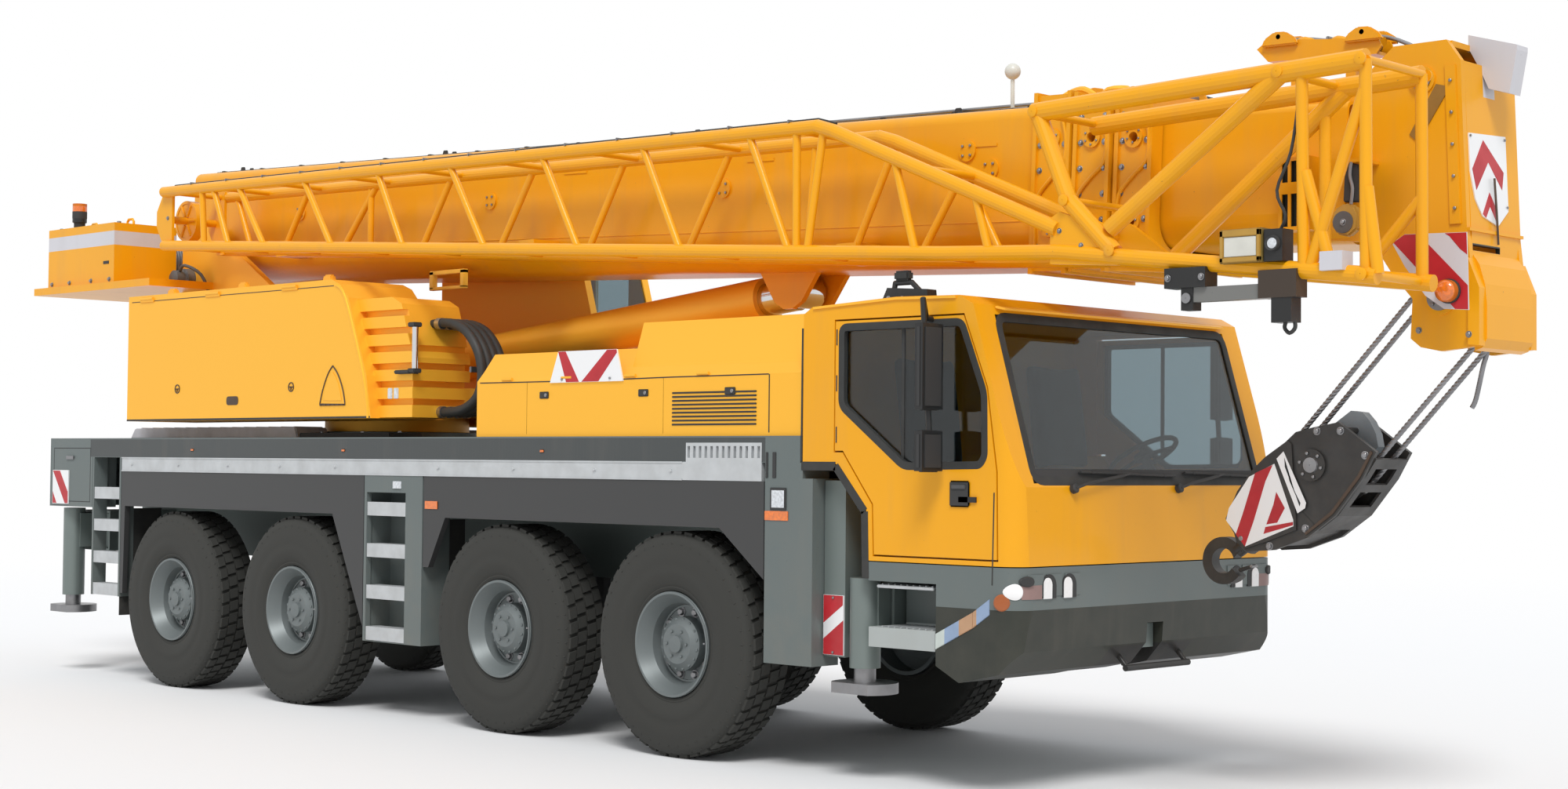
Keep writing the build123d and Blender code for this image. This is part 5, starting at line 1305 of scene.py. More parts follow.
class CRANE_OT_hood_trim(bpy.types.Operator):
    """Latches, pressed arch, edges, lamps, hoses and handles of the superstructure's hoods"""

    bl_idname = "crane.hood_trim"
    bl_label = "Hood trim"

    def execute(self, context):
        face = -HALF
        out = Vector((0, -1, 0))
        shape = shaper("brown_trim")
        shape.tube(upright(face - 0.001, curved(ARCH[:5]) + curved(ARCH[6:] + ARCH[:1])), 0.006, 6)
        shape.block(at(2.0, face - 0.006, 2.172), at(2.314, face, 2.184), 0.002)
        for k in range(6):
            x = 2.02 + k * 0.055
            shape.bolt(at(x, face - 0.005, 2.178), out, 0.006, False)
        shape.use("yellow_paint")
        arch = [at(2.154 + (x - 2.154) * 0.72, face, 2.29 + (z - 2.29) * 0.74) for x, z in ARCH]
        shape.prism(arch, out * 0.004, 0.001)
        # round latches
        for x, z in ((0.066, 2.327), (1.631, 2.315)):
            shape.use("brown_trim").turned(at(x, face, z), out,
                                           ((0.028, 0.0), (0.036, 0.0), (0.036, 0.004), (0.028, 0.004)), 24)
            shape.block(at(x - 0.024, face - 0.006, z - 0.004), at(x + 0.024, face, z + 0.004), 0.001)
            shape.block(at(x - 0.004, face - 0.006, z - 0.024), at(x + 0.004, face, z + 0.004), 0.001)
        # hand hole
        hole = rounded([at(0.77, face, 2.192), at(0.93, face, 2.192), at(0.93, face, 2.258),
                        at(0.77, face, 2.258)], 0.05)
        shape.use("brown_trim").prism(hole, out * 0.003)
        # dark foot line, top seam and hinges
        shape.use("black_plastic").block(at(-0.69, face - 0.002, 2.08), at(2.61, face, 2.094), 0.0)
        shape.use("brown_trim").block(at(-0.64, face - 0.0015, 3.03), at(2.15, face, 3.036), 0.0)
        shape.use("yellow_paint")
        for x in (-0.4, 0.56, 1.6):
            shape.block(at(x - 0.1, face - 0.01, 3.024), at(x + 0.1, face + 0.002, 3.05), 0.004)
            shape.tube((at(x - 0.09, face - 0.008, 3.052), at(x + 0.09, face - 0.008, 3.052)), 0.011, 10)
        for x in (-0.3, 0.72, 1.85):
            shape.prism([at(x - 0.07, -1.13, 3.075), at(x + 0.07, -1.13, 3.075), at(x + 0.045, -1.13, 3.14),
                         at(x - 0.045, -1.13, 3.14)], (0, 0.05, 0), 0.012)
        # rolled edge along the hood's slanted front
        edge = ((2.205, 0.0, 3.05), (2.33, 0.0, 2.94), (2.56, 0.0, 2.38), (2.618, 0.0, 2.09))
        shape.tube([at(p.x - 0.03, face + 0.001, p.z - 0.01) for p in curved(edge)], 0.012, 8)
        shape.piece("right_hood_trim", "superstructure", "yellow_paint")

        shape = shaper("black_plastic")
        # rear work lamp, and the rod and small lamps in front of the grille
        shape.block(at(-0.77, -1.235, 2.275), at(-0.69, -1.165, 2.415), 0.014)
        shape.use("clear_lens").block(at(-0.776, -1.225, 2.29), at(-0.766, -1.175, 2.4), 0.003)
        shape.use("black_plastic").block(at(2.84, -1.245, 2.385), at(3.01, -1.15, 2.412), 0.006)
        shape.use("chrome_rod").tube((at(3.03, -1.205, 2.4), at(3.03, -1.205, 2.735)), 0.022, 16)
        shape.use("black_plastic")
        for z in (2.405, 2.725):
            shape.block(at(2.985, -1.24, z - 0.016), at(3.065, -1.17, z + 0.016), 0.006)
        shape.use("clear_lens")
        for x in (2.72, 2.79):
            shape.block(at(x, -1.208, 2.215), at(x + 0.05, -1.196, 2.29), 0.004)
        shape.piece("grille_fittings", "superstructure", "steel")
        shape = shaper("hose_rubber")
        for number, y in enumerate(HOSE_ROWS):
            shape.tube(
                [at(p.x - number * 0.012, y, p.z) for p in curved([(x, 0, z) for x, z in HOSE_LOOP], 5)],
                0.033, 12)
        shape.use("pin_steel")
        for z0, x0 in ((2.745, 2.96), (2.125, 2.99)):
            for y in HOSE_ROWS:
                shape.turned(at(x0, y, z0), (1, 0, 0), ((0.033, 0.0), (0.042, 0.0), (0.042, 0.05),
                                                        (0.033, 0.05)), 12)
        shape.block(at(3.36, -0.99, 2.395), at(3.38, -0.71, 2.435), 0.004)
        shape.piece("hose_loop", "superstructure", "tyre_rubber")
        # left tank: filler cap, straps, level plate and steps
        shape = shaper("black_plastic")
        side = HALF - 0.04
        shape.disc(at(-0.2, 0.95, 2.98), (0, 0, 1), 0.085, 0.045, 28)
        for arm in arms(8):
            grip = at(-0.2 + 0.08 * arm.x, 0.95 + 0.08 * arm.z, 2.985)
            shape.block(grip - Vector((0.008, 0.008, 0)), grip + Vector((0.008, 0.008, 0.035)), 0.002)
        shape.use("step_metal")
        for x in (-0.45, 0.3):
            shape.block(at(x - 0.03, side, 2.09), at(x + 0.03, side + 0.006, 2.96), 0.002)
            shape.bolt(at(x, side + 0.006, 2.52), (0, 1, 0), 0.012)
        shape.use("black_plastic").block(at(0.08, side, 2.25), at(0.14, side + 0.008, 2.56), 0.003)
        shape.tube([at(x, side + d, z) for x, d, z in ((-0.06, 0.0, 2.3), (-0.06, 0.03, 2.33),
                                                       (-0.06, 0.03, 2.75), (-0.06, 0.0, 2.78))], 0.012, 8)
        shape.piece("left_tank_trim", "superstructure", "black_plastic")
        return {"FINISHED"}


class CRANE_OT_tail_trim(bpy.types.Operator):
    """Beacon lens, winch rope, motors, lamps and bolts of the tail"""

    bl_idname = "crane.tail_trim"
    bl_label = "Tail trim"

    def execute(self, context):
        rope = context.scene.crane_sizes.rope
        # rope wound on the drum
        shape = shaper("rope_steel")
        profile = [(DRUM_RADIUS, -DRUM_HALF)]
        for k in range(ROPE_TURNS):
            middle = FIRST_TURN + k * TURN_PITCH
            for a in (0.0, 0.9, math.pi / 2, math.pi - 0.9, math.pi):
                profile.append((DRUM_RADIUS + 0.002 + rope * 1.05 * math.sin(a),
                                middle - rope * 1.05 * math.cos(a)))
        profile.append((DRUM_RADIUS, DRUM_HALF))
        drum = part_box("hoist_winch")
        centre = (drum[0] + drum[1]) / 2
        shape.turned(centre, (0, 1, 0), profile, 40)
        shape.use("yellow_paint")
        for sign in (-1, 1):
            shape.disc(centre + Vector((0, sign * 0.462, 0)), (0, sign, 0), 0.205, 0.022, 40)
            shape.disc(centre + Vector((0, sign * 0.48, 0)), (0, sign, 0), 0.12, 0.03, 32)
            shape.use("pin_steel").bolts(around(centre + Vector((0, sign * 0.484, 0)), 0.165, 12),
                                         (0, sign, 0), 0.01)
            shape.use("yellow_paint")
        shape.piece("winch_rope", "superstructure", "steel")
        # beacon: ribbed base and lens
        shape = shaper("black_plastic")
        foot = at(-2.05, -0.98, 3.74)
        shape.turned(foot, (0, 0, 1), ((0.002, 0.0), (0.062, 0.0), (0.062, 0.006), (0.047, 0.01),
                                       (0.047, 0.05), (0.056, 0.066), (0.0615, 0.1), (0.0615, 0.152),
                                       (0.002, 0.152)), 32)
        shape.use("amber_lens")
        lens_profile = [(0.002, 0.15)] + [(0.0605 + (0.001 if k % 2 else 0.0), 0.152 + k * 0.006)
                                          for k in range(8)]
        shape.turned(foot, (0, 0, 1), lens_profile + [(0.052, 0.212), (0.03, 0.2205), (0.002, 0.2205)], 36)
        shape.piece("beacon_trim", "superstructure", "lamp_lens")
        shape = shaper("black_plastic")
        for sign in (-1, 1):
            # small dark slot, tail lamps and rear markers
            shape.use("black_plastic")
            face = sign * 1.1
            shape.block(at(-1.42, face, 3.4), at(-1.33, face + sign * 0.004, 3.425), 0.001)
            shape.use("red_lens").block(at(-2.36, sign * 0.62, 3.29), at(-2.349, sign * 1.0, 3.35), 0.003)
            shape.use("pin_steel")
            for x in (-2.28, -1.98, -1.62, -1.32):
                shape.bolt(at(x, face, 3.27), (0, sign, 0), 0.012)
            for x, y in ((-2.28, 0.6), (-2.28, 1.02), (-1.32, 0.6), (-1.32, 1.02)):
                shape.bolt(at(x, sign * y, 3.74), (0, 0, 1), 0.016)
            shape.use("yellow_paint")
            for x in (-2.1, -1.5):
                shape.tube([at(x + dx, sign * 0.81, z) for dx,
                            z in ((-0.05, 3.738), (-0.05, 3.785), (-0.03, 3.805), (0.03, 3.805),
                                  (0.05, 3.785), (0.05, 3.738))], 0.011, 8)
        shape.piece("tail_hardware", "superstructure", "black_plastic")
        # hoist motors inboard of the plates
        shape = shaper("cast_iron")
        for sign in (-1, 1):
            hub = at(-0.95, sign * 0.56, 3.285)
            shape.turned(hub, (0, sign, 0), ((0.002, 0.0), (0.085, 0.0), (0.085, 0.07), (0.065, 0.085),
                                             (0.065, 0.16), (0.04, 0.18), (0.002, 0.18)), 28)
            shape.bolts(around(hub + Vector((0, sign * 0.071, 0)), 0.072, 6), (0, sign, 0), 0.008, False)
            shape.tube(curved([
                hub + Vector((0.03, sign * 0.12, 0.06)), hub + Vector((0.12, sign * 0.13, 0.1)),
                hub + Vector((0.26, sign * 0.06, 0.02)), hub + Vector((0.34, sign * 0.02, -0.16))]), 0.014, 8)
        shape.piece("hoist_motors", "superstructure", "cast_grey")
        return {"FINISHED"}


# ---------------------------------------------------------------- boom
BOOM_DIP = math.radians(2.3)
# columns: body, collar's rear and front along the boom, half width, half height over the ribs
COLLARS = (("boom_base", 3.54, 3.8, 0.508, 0.513), ("boom_tele_1", 3.815, 4.065, 0.498, 0.503),
           ("boom_tele_2", 4.08, 4.33, 0.474, 0.479))
# wear-pad covers of the base section, in (station, height)
BASE_PADS = ((7.5, 3.5), (7.33, 3.62), (5.3, 3.56), (2.9, 3.66), (0.5, 3.75))
# hoist rope over the head: from the rope guide to the top sheave, in (station, height)
HEAD_ROPE = ((9.15, 4.098), (9.3, 4.095), (9.5, 4.06), (9.69, 4.06), (9.85, 4.02), (10.07, 3.9))


def on_boom(along, across, up):
    """Point in the boom's own directions, counted from its middle."""
    c, s = math.cos(BOOM_DIP), math.sin(BOOM_DIP)
    return at(4.3 + along * c + up * s, across, 3.525 - along * s + up * c)


ALONG = Vector((math.cos(BOOM_DIP), 0.0, -math.sin(BOOM_DIP)))
ABOVE = Vector((math.sin(BOOM_DIP), 0.0, math.cos(BOOM_DIP)))


class CRANE_OT_boom_trim(bpy.types.Operator):
    """Collar bolts, rope rollers, pads, hoses and seams of the telescopic boom"""

    bl_idname = "crane.boom_trim"
    bl_label = "Boom trim"

    def execute(self, context):
        bolt = context.scene.crane_sizes.bolt
        rope = context.scene.crane_sizes.rope
        for number, (body, rear, front, half, high) in enumerate(COLLARS):
            shape = shaper("pin_steel")
            middle = (rear + front) / 2
            flat = high - 0.016
            for sign in (-1, 1):
                side = Vector((0, sign, 0))
                for k in range(6):
                    up = -0.36 + k * 0.144
                    for x in (rear + 0.045, front - 0.045):
                        shape.bolt(on_boom(x, sign * (half - 0.0165), up), side, bolt)
                for up in (-0.245, 0.245):
                    for arm in arms(6, 0.5):
                        shape.bolt(on_boom(middle + 0.043 * arm.x, sign * (half - 0.0005),
                                           up + 0.043 * arm.z), side, 0.006, False)
                # curved hose clipped round each boss
                shape.use("boom_paint")
                loop = [(middle - 0.095, -0.36), (middle - 0.1, -0.22), (middle - 0.085, -0.08),
                        (middle, 0.02), (middle + 0.085, 0.1), (middle + 0.1, 0.24), (middle + 0.07, 0.36)]
                shape.tube(curved([on_boom(x, sign * (half - 0.008), u) for x, u in loop]), 0.012, 8)
                shape.use("pin_steel")
            for k in range(5):
                across = -0.32 + k * 0.16
                for x in (rear + 0.045, front - 0.045):
                    shape.bolt(on_boom(x, across, flat), ABOVE, bolt)
            # rope roller between cheeks over a humped guard
            shape.use("boom_paint")
            for y in (-0.125, 0.105):
                hump = [(rear + 0.03, flat - 0.002), (rear + 0.035, flat + 0.03),
                        (middle - 0.06, flat + 0.078), (middle, flat + 0.088), (middle + 0.06, flat + 0.078),
                        (front - 0.035, flat + 0.03), (front - 0.03, flat - 0.002)]
                shape.prism([on_boom(x, y, u) for x, u in hump], (0, 0.02, 0), 0.004)
            shape.use("pin_steel").turned(on_boom(middle, -0.105, flat + 0.045), (0, 1, 0),
                                          ((0.002, 0.0), (0.034, 0.0), (0.026, 0.02), (0.024, 0.105),
                                           (0.026, 0.19), (0.034, 0.21), (0.002, 0.21)), 24)
            # looped supply hoses beside the roller
            shape.use("hose_rubber")
            for k in range(3):
                y = 0.2 + k * 0.045
                arc = [(rear + 0.02, flat + 0.014), (rear + 0.06, flat + 0.05 + 0.008 * k),
                       (middle, flat + 0.066), (front - 0.06, flat + 0.048), (front - 0.02, flat + 0.014)]
                shape.tube(curved([on_boom(x, y, u) for x, u in arc], 3), 0.011, 8)
            bend = ((rear + 0.02, flat + 0.01), (middle - 0.05, flat + 0.046), (middle + 0.05, flat + 0.05),
                    (front - 0.02, flat + 0.012))
            hose = [on_boom(x, -0.26 + 0.02 * math.sin(x * 40), u) for x, u in bend]
            shape.use("yellow_paint").tube(curved(hose, 3), 0.022, 8)
            shape.piece(f"collar_trim_{number + 1}", body, "yellow_paint")

        # base section: pad bolts, seams, pale lamp ball and hoist rope with its clips
        shape = shaper("pin_steel")
        for sign in (-1, 1):
            for x, z in BASE_PADS:
                shape.bolts(around(at(x, sign * 0.464, z), 0.04, 4, 0.5), (0, sign, 0), 0.008, False)
            shape.bolts(around(at(-0.8, sign * 0.49, 3.45), 0.115, 4), (0, sign, 0), 0.014)
        shape.use("boom_paint")
        for sign in (-1, 1):
            seam = [on_boom(x, sign * 0.4505, -0.205) for x in (-5.39, 3.53)]
            shape.tube(seam, 0.004, 6)
            for x in (-4.2, -2.4, -0.6, 1.2, 3.0):
                low = on_boom(x, sign * 0.45, 0.235)
                shape.prism([low, low + ALONG * 0.24, low + ALONG * 0.24 + ABOVE * 0.02, low + ABOVE * 0.02],
                            (0, sign * 0.006, 0), 0.002)
        # open square frame on the right side
        shape.use("yellow_bright")
        for (x0, x1), (z0, z1) in (((2.225, 2.276), (3.05, 3.182)), ((2.592, 2.64), (3.05, 3.182)),
                                   ((2.225, 2.64), (3.155, 3.186)), ((2.225, 2.64), (3.042, 3.066))):
            shape.block(at(x0, -0.486, z0), at(x1, -0.446, z1), 0.004)
        shape.use("hose_rubber")
        for y in (-0.3, -0.26):
            shape.tube([on_boom(x, y, 0.4645) for x in (-5.3, 3.53)], 0.01, 8)
        for k in range(16):
            x = -5.2 + k * 0.57
            shape.block(on_boom(x, -0.325, 0.453), on_boom(x + 0.03, -0.235, 0.478), 0.003)
        shape.use("rope_steel").tube([on_boom(x, 0.0, 0.5 + 0.04 * (x + 5.3) / 8.8) for x in (-5.35, 3.66)],
                                     rope, 10)
        shape.use("black_plastic")
        for x in (-5.32, -2.5, 0.3, 2.6):
            for y in (-0.05, 0.035):
                shape.prism([on_boom(x - 0.05, y, 0.4545), on_boom(x + 0.05, y, 0.4545),
                             on_boom(x + 0.02, y, 0.545), on_boom(x - 0.02, y, 0.545)], (0, 0.015, 0), 0.003)
            shape.tube((on_boom(x, -0.045, 0.486), on_boom(x, 0.045, 0.486)), 0.012, 10)
        shape.use("lamp_ball").tube((at(7.5, -0.25, 3.88), at(7.5, -0.25, 4.07)), 0.012, 8)
        ball = at(7.5, -0.25, 4.095)
        shape.turned(ball, (0, 0, 1), [(max(0.002, 0.048 * math.sin(a)), -0.048 * math.cos(a))
                                       for a in (math.pi * k / 10 for k in range(11))], 24)
        shape.piece("boom_base_trim", "boom_base", "yellow_paint")
        return {"FINISHED"}


class CRANE_OT_head_trim(bpy.types.Operator):
    """Ribs, bolts, hanging pulley, hoist rope and bars of the boom head"""

    bl_idname = "crane.head_trim"
    bl_label = "Boom head trim"

    def execute(self, context):
        rope = context.scene.crane_sizes.rope
        shape = shaper("boom_paint")
        for sign in (-1, 1):
            side = Vector((0, sign, 0))
            face = sign * 0.29
            # upright flange by the front edge, slanted rib and pin retainers
            shape.prism(upright(face - sign * 0.002, ((10.29, 3.0), (10.352, 3.0), (10.322, 3.8),
                                                      (10.262, 3.8))), side * 0.012, 0.003)
            if sign > 0:
                shape.prism(upright(face - 0.002, ((9.3, 3.6), (9.9, 3.3), (9.92, 3.34), (9.32, 3.64))),
                            side * 0.016, 0.003)
            for (x, z), reach, radius in (((10.24, 2.64), 0.304, 0.066), ((10.14, 3.74), 0.302, 0.052)):
                shape.use("pin_steel").turned(
                    at(x, sign * reach, z), side, ((0.002, 0.0), (radius, 0.0), (radius, 0.01),
                                                   (0.002, 0.012)), 28)
                shape.bolts(around(at(x, sign * (reach + 0.011), z), radius * 0.7, 4, 0.5), side, 0.008,
                            False)
                shape.use("boom_paint")
            shape.use("pin_steel")
            for z in (3.08, 3.24, 3.4, 3.56, 3.72):
                shape.bolt(at(10.325 - (z - 3.0) * 0.038, sign * 0.302, z), side, 0.008, False)
            shape.bolts(upright(face, ((9.36, 3.08), (9.36, 3.62), (9.62, 3.62), (9.98, 3.82),
                                       (10.12, 2.48))), side, 0.01)
            shape.bolt(at(10.4, sign * 0.312, 2.45), side, 0.01)
            shape.use("boom_paint")
        # painted shadow: a dark brown plate slanting down the head's right side below the top lamp
        shape.use("painted_shadow_paint").prism(upright(-0.292, ((10.215, 3.712), (10.292, 3.69), (10.118, 3.425),
                                                        (10.07, 3.47))), (0, -0.004, 0), 0.001)
        # bar that hangs before the front plate
        shape.use("brown_trim").tube((at(10.392, -0.022, 3.25), at(10.398, -0.01, 3.08),
                                      at(10.402, 0.0, 2.915)), 0.006, 8)
        shape.piece("head_ribs", "boom_head", "yellow_paint")

        # snatch block that hangs on the right of the head
        shape = shaper("black_plastic")
        face = -0.48
        shape.prism(upright(face + 0.02, ((9.8, 3.335), (9.878, 3.322), (9.884, 3.13), (9.79, 3.135))),
                    (0, 0.035, 0), 0.006)
        shape.use("pin_steel").tube(curved(
            upright(face + 0.01, ((9.845, 3.345), (9.835, 3.27), (9.85, 3.2), (9.842, 3.12)))), 0.009, 8)
        shape.use("dull_yellow")
        centre = at(9.812, face + 0.045, 3.042)
        body = [(0.0, 0.085), (0.055, 0.072), (0.078, 0.02), (0.072, -0.05), (0.02, -0.088), (-0.045, -0.07),
                (-0.078, -0.015), (-0.06, 0.055)]
        shape.prism([centre + Vector((dx, 0, dz)) for dx, dz in body], (0, -0.05, 0), 0.01)
        shape.use("cast_iron").turned(centre + Vector((-0.006, -0.049, -0.012)), (0, -1, 0), (
            (0.002, 0.0), (0.056, 0.0), (0.056, 0.006), (0.04, 0.008), (0.02, 0.004), (0.002, 0.008)), 28)
        shape.use("pin_steel").bolt(centre + Vector((-0.006, -0.052, -0.012)), (0, -1, 0), 0.01)
        # hanger that carries it, and the dark sling beside it
        shape.use("boom_paint").block(at(9.78, -0.48, 3.33), at(9.9, -0.288, 3.352), 0.004)
        shape.use("brown_trim").tube(curved(upright(-0.33, ((9.655, 3.355), (9.625, 3.3), (9.622, 3.18),
                                                            (9.64, 3.06), (9.662, 3.18), (9.685, 3.3),
                                                            (9.655, 3.355)))), 0.012, 8)
        shape.use("boom_paint").block(at(9.63, -0.345, 3.345), at(9.68, -0.288, 3.372), 0.003)
        shape.piece("snatch_block", "boom_head", "cast_grey")

        # rollers with caps over the rope guide, and the hose coil strapped on it
        shape = shaper("boom_paint")
        for x, z in ((9.19, 4.052), (9.69, 4.016)):
            for y in (-0.1, 0.07):
                hump = [(x - 0.11, z + 0.01), (x - 0.09, z + 0.052), (x - 0.03, z + 0.085),
                        (x + 0.04, z + 0.08), (x + 0.1, z + 0.04), (x + 0.115, z + 0.004)]
                shape.prism([at(u, y, w) for u, w in hump], (0, 0.03, 0), 0.008)
            shape.tube((at(x, -0.1, z + 0.055), at(x, 0.1, z + 0.055)), 0.014, 12)
        shape.tube(curved([at(9.11 + k * 0.066, 0.02 * math.sin(k * 1.7), 4.085 - k * 0.006
                              + 0.012 * math.cos(k * 2.1)) for k in range(11)], 3), 0.026, 10)
        shape.use("pin_steel")
        for x in (9.3, 9.44, 9.58):
            shape.block(at(x, -0.034, 4.03), at(x + 0.018, 0.034, 4.088), 0.004)
        shape.piece("guide_trim", "boom_head", "yellow_paint")

        # hoist rope over the guide and both rollers, and the rope end below the head
        shape = shaper("rope_steel")
        shape.tube(curved(upright(0.0, HEAD_ROPE)), rope, 10)
        end = curved([at(x, y, z) for x, y, z in ((10.3, 0.1, 2.42), (10.285, 0.1, 2.358),
                                                  (10.27, 0.1, 2.313), (10.231, 0.1, 2.148),
                                                  (10.208, 0.1, 2.1))])
        shape.tube(end, rope * 1.2, 10)
        shape.use("pin_steel").tube((end[0] + Vector((0.0, 0, 0.05)), end[0] - Vector((0.004, 0, 0.02))),
                                    0.024, 14)
        shape.piece("head_rope", "boom_head", "steel")
        return {"FINISHED"}


# ---------------------------------------------------------------- jib, hook block, lamps and operator's seat
# distances across to the near and far side of the folded jib
JIB_NEAR, JIB_FAR = -1.185, -0.65
# pins of the jib's foot, in (station, height)
JIB_PINS = ((8.405, 3.648), (8.61, 3.165), (8.9, 2.885), (9.88, 3.69), (10.325, 3.7), (10.33, 2.69))
# hook block's own directions: the falls run from the head's lower sheaves
FALL_TOP = (10.24, 2.64)
FALL_X, FALL_Z = -0.683, -0.73
# half the distance between the two falls of each sheave, and the middle planes of both sheaves
ROPE_ACROSS = 0.212
SHEAVES = (-0.075, 0.075)
# nose: its front, where its round corners begin, and their radius
NOSE, CORNER_START, CORNER = 8.35, 1.125, 0.15
# lamp boxes, as limits of the distance across, and their heights
LAMP_BOXES = ((1.048, 1.172), (0.888, 1.012), (0.728, 0.852))
LAMP_Z = (1.095, 1.205)


def on_nose(y, z, out=0.0):
    """Point on the nose at a distance across, its round corners included."""
    past = max(0.0, abs(y) - CORNER_START)
    reach = CORNER + out
    ahead = math.sqrt(CORNER ** 2 - past ** 2) / CORNER * reach
    return at(NOSE - CORNER + ahead, math.copysign(min(abs(y), CORNER_START) + past / CORNER * reach, y), z)


def nose_patch(shape, near, far, z0, z1, out):
    """Thin sheet on the nose between two distances across."""
    steps = 6
    rings = []
    for k in range(steps + 1):
        y = near + (far - near) * k / steps
        rings.append([on_nose(y, z0, -0.004), on_nose(y, z0, out), on_nose(y, z1, out),
                      on_nose(y, z1, -0.004)])
    shape.ring_loops(rings)


def nose_oval(shape, y, z, wide, high, out, steps=24):
    """Oval lens on the nose round (y, z)."""
    angles = [math.tau * k / steps for k in range(steps)]
    rings = []
    for grow, proud in ((1.0, -0.004), (1.0, out * 0.6), (0.85, out)):
        rings.append([on_nose(y + wide * grow * math.cos(a), z + high * grow * math.sin(a), proud)
                      for a in angles])
    shape.ring_loops(rings)


def nose_arch(shape, y, half, low, high, out, steps=10):
    """Upright patch on the nose with a flat foot and a round head."""
    angles = [math.pi * k / steps for k in range(steps + 1)]
    head = [(y + half * math.cos(a), high - half * (1 - math.sin(a))) for a in angles]
    outline = [(y - half, low), (y + half, low), *head]
    shape.prism([on_nose(across, up, -0.004) for across, up in outline], (out + 0.004, 0, 0), 0.001)


def on_falls(along, across, y=0.0):
    """Point at a distance down the rope falls and a distance to their front side."""
    return at(FALL_TOP[0] + along * FALL_X - across * FALL_Z, y, FALL_TOP[1] + along * FALL_Z
              + across * FALL_X)


def laid_rope(shape, start, end, radius, strands=6, pitch=0.16):
    """Straight steel rope whose strands wind round it."""
    along = (end - start).normalized()
    side = along.orthogonal().normalized()
    other = along.cross(side)
    count = max(8, int((end - start).length / 0.008))
    rings = []
    for i in range(count + 1):
        share = i / count
        twist = math.tau * share * (end - start).length / pitch
        ring = []
        for k in range(strands * 3):
            a = math.tau * k / (strands * 3)
            reach = radius * (1.0 + 0.13 * math.cos(strands * a))
            ring.append(start.lerp(end, share)
                        + (side * math.cos(a + twist) + other * math.sin(a + twist)) * reach)
        rings.append(ring)
    for face in shape.ring_loops(rings):
        face.smooth = True


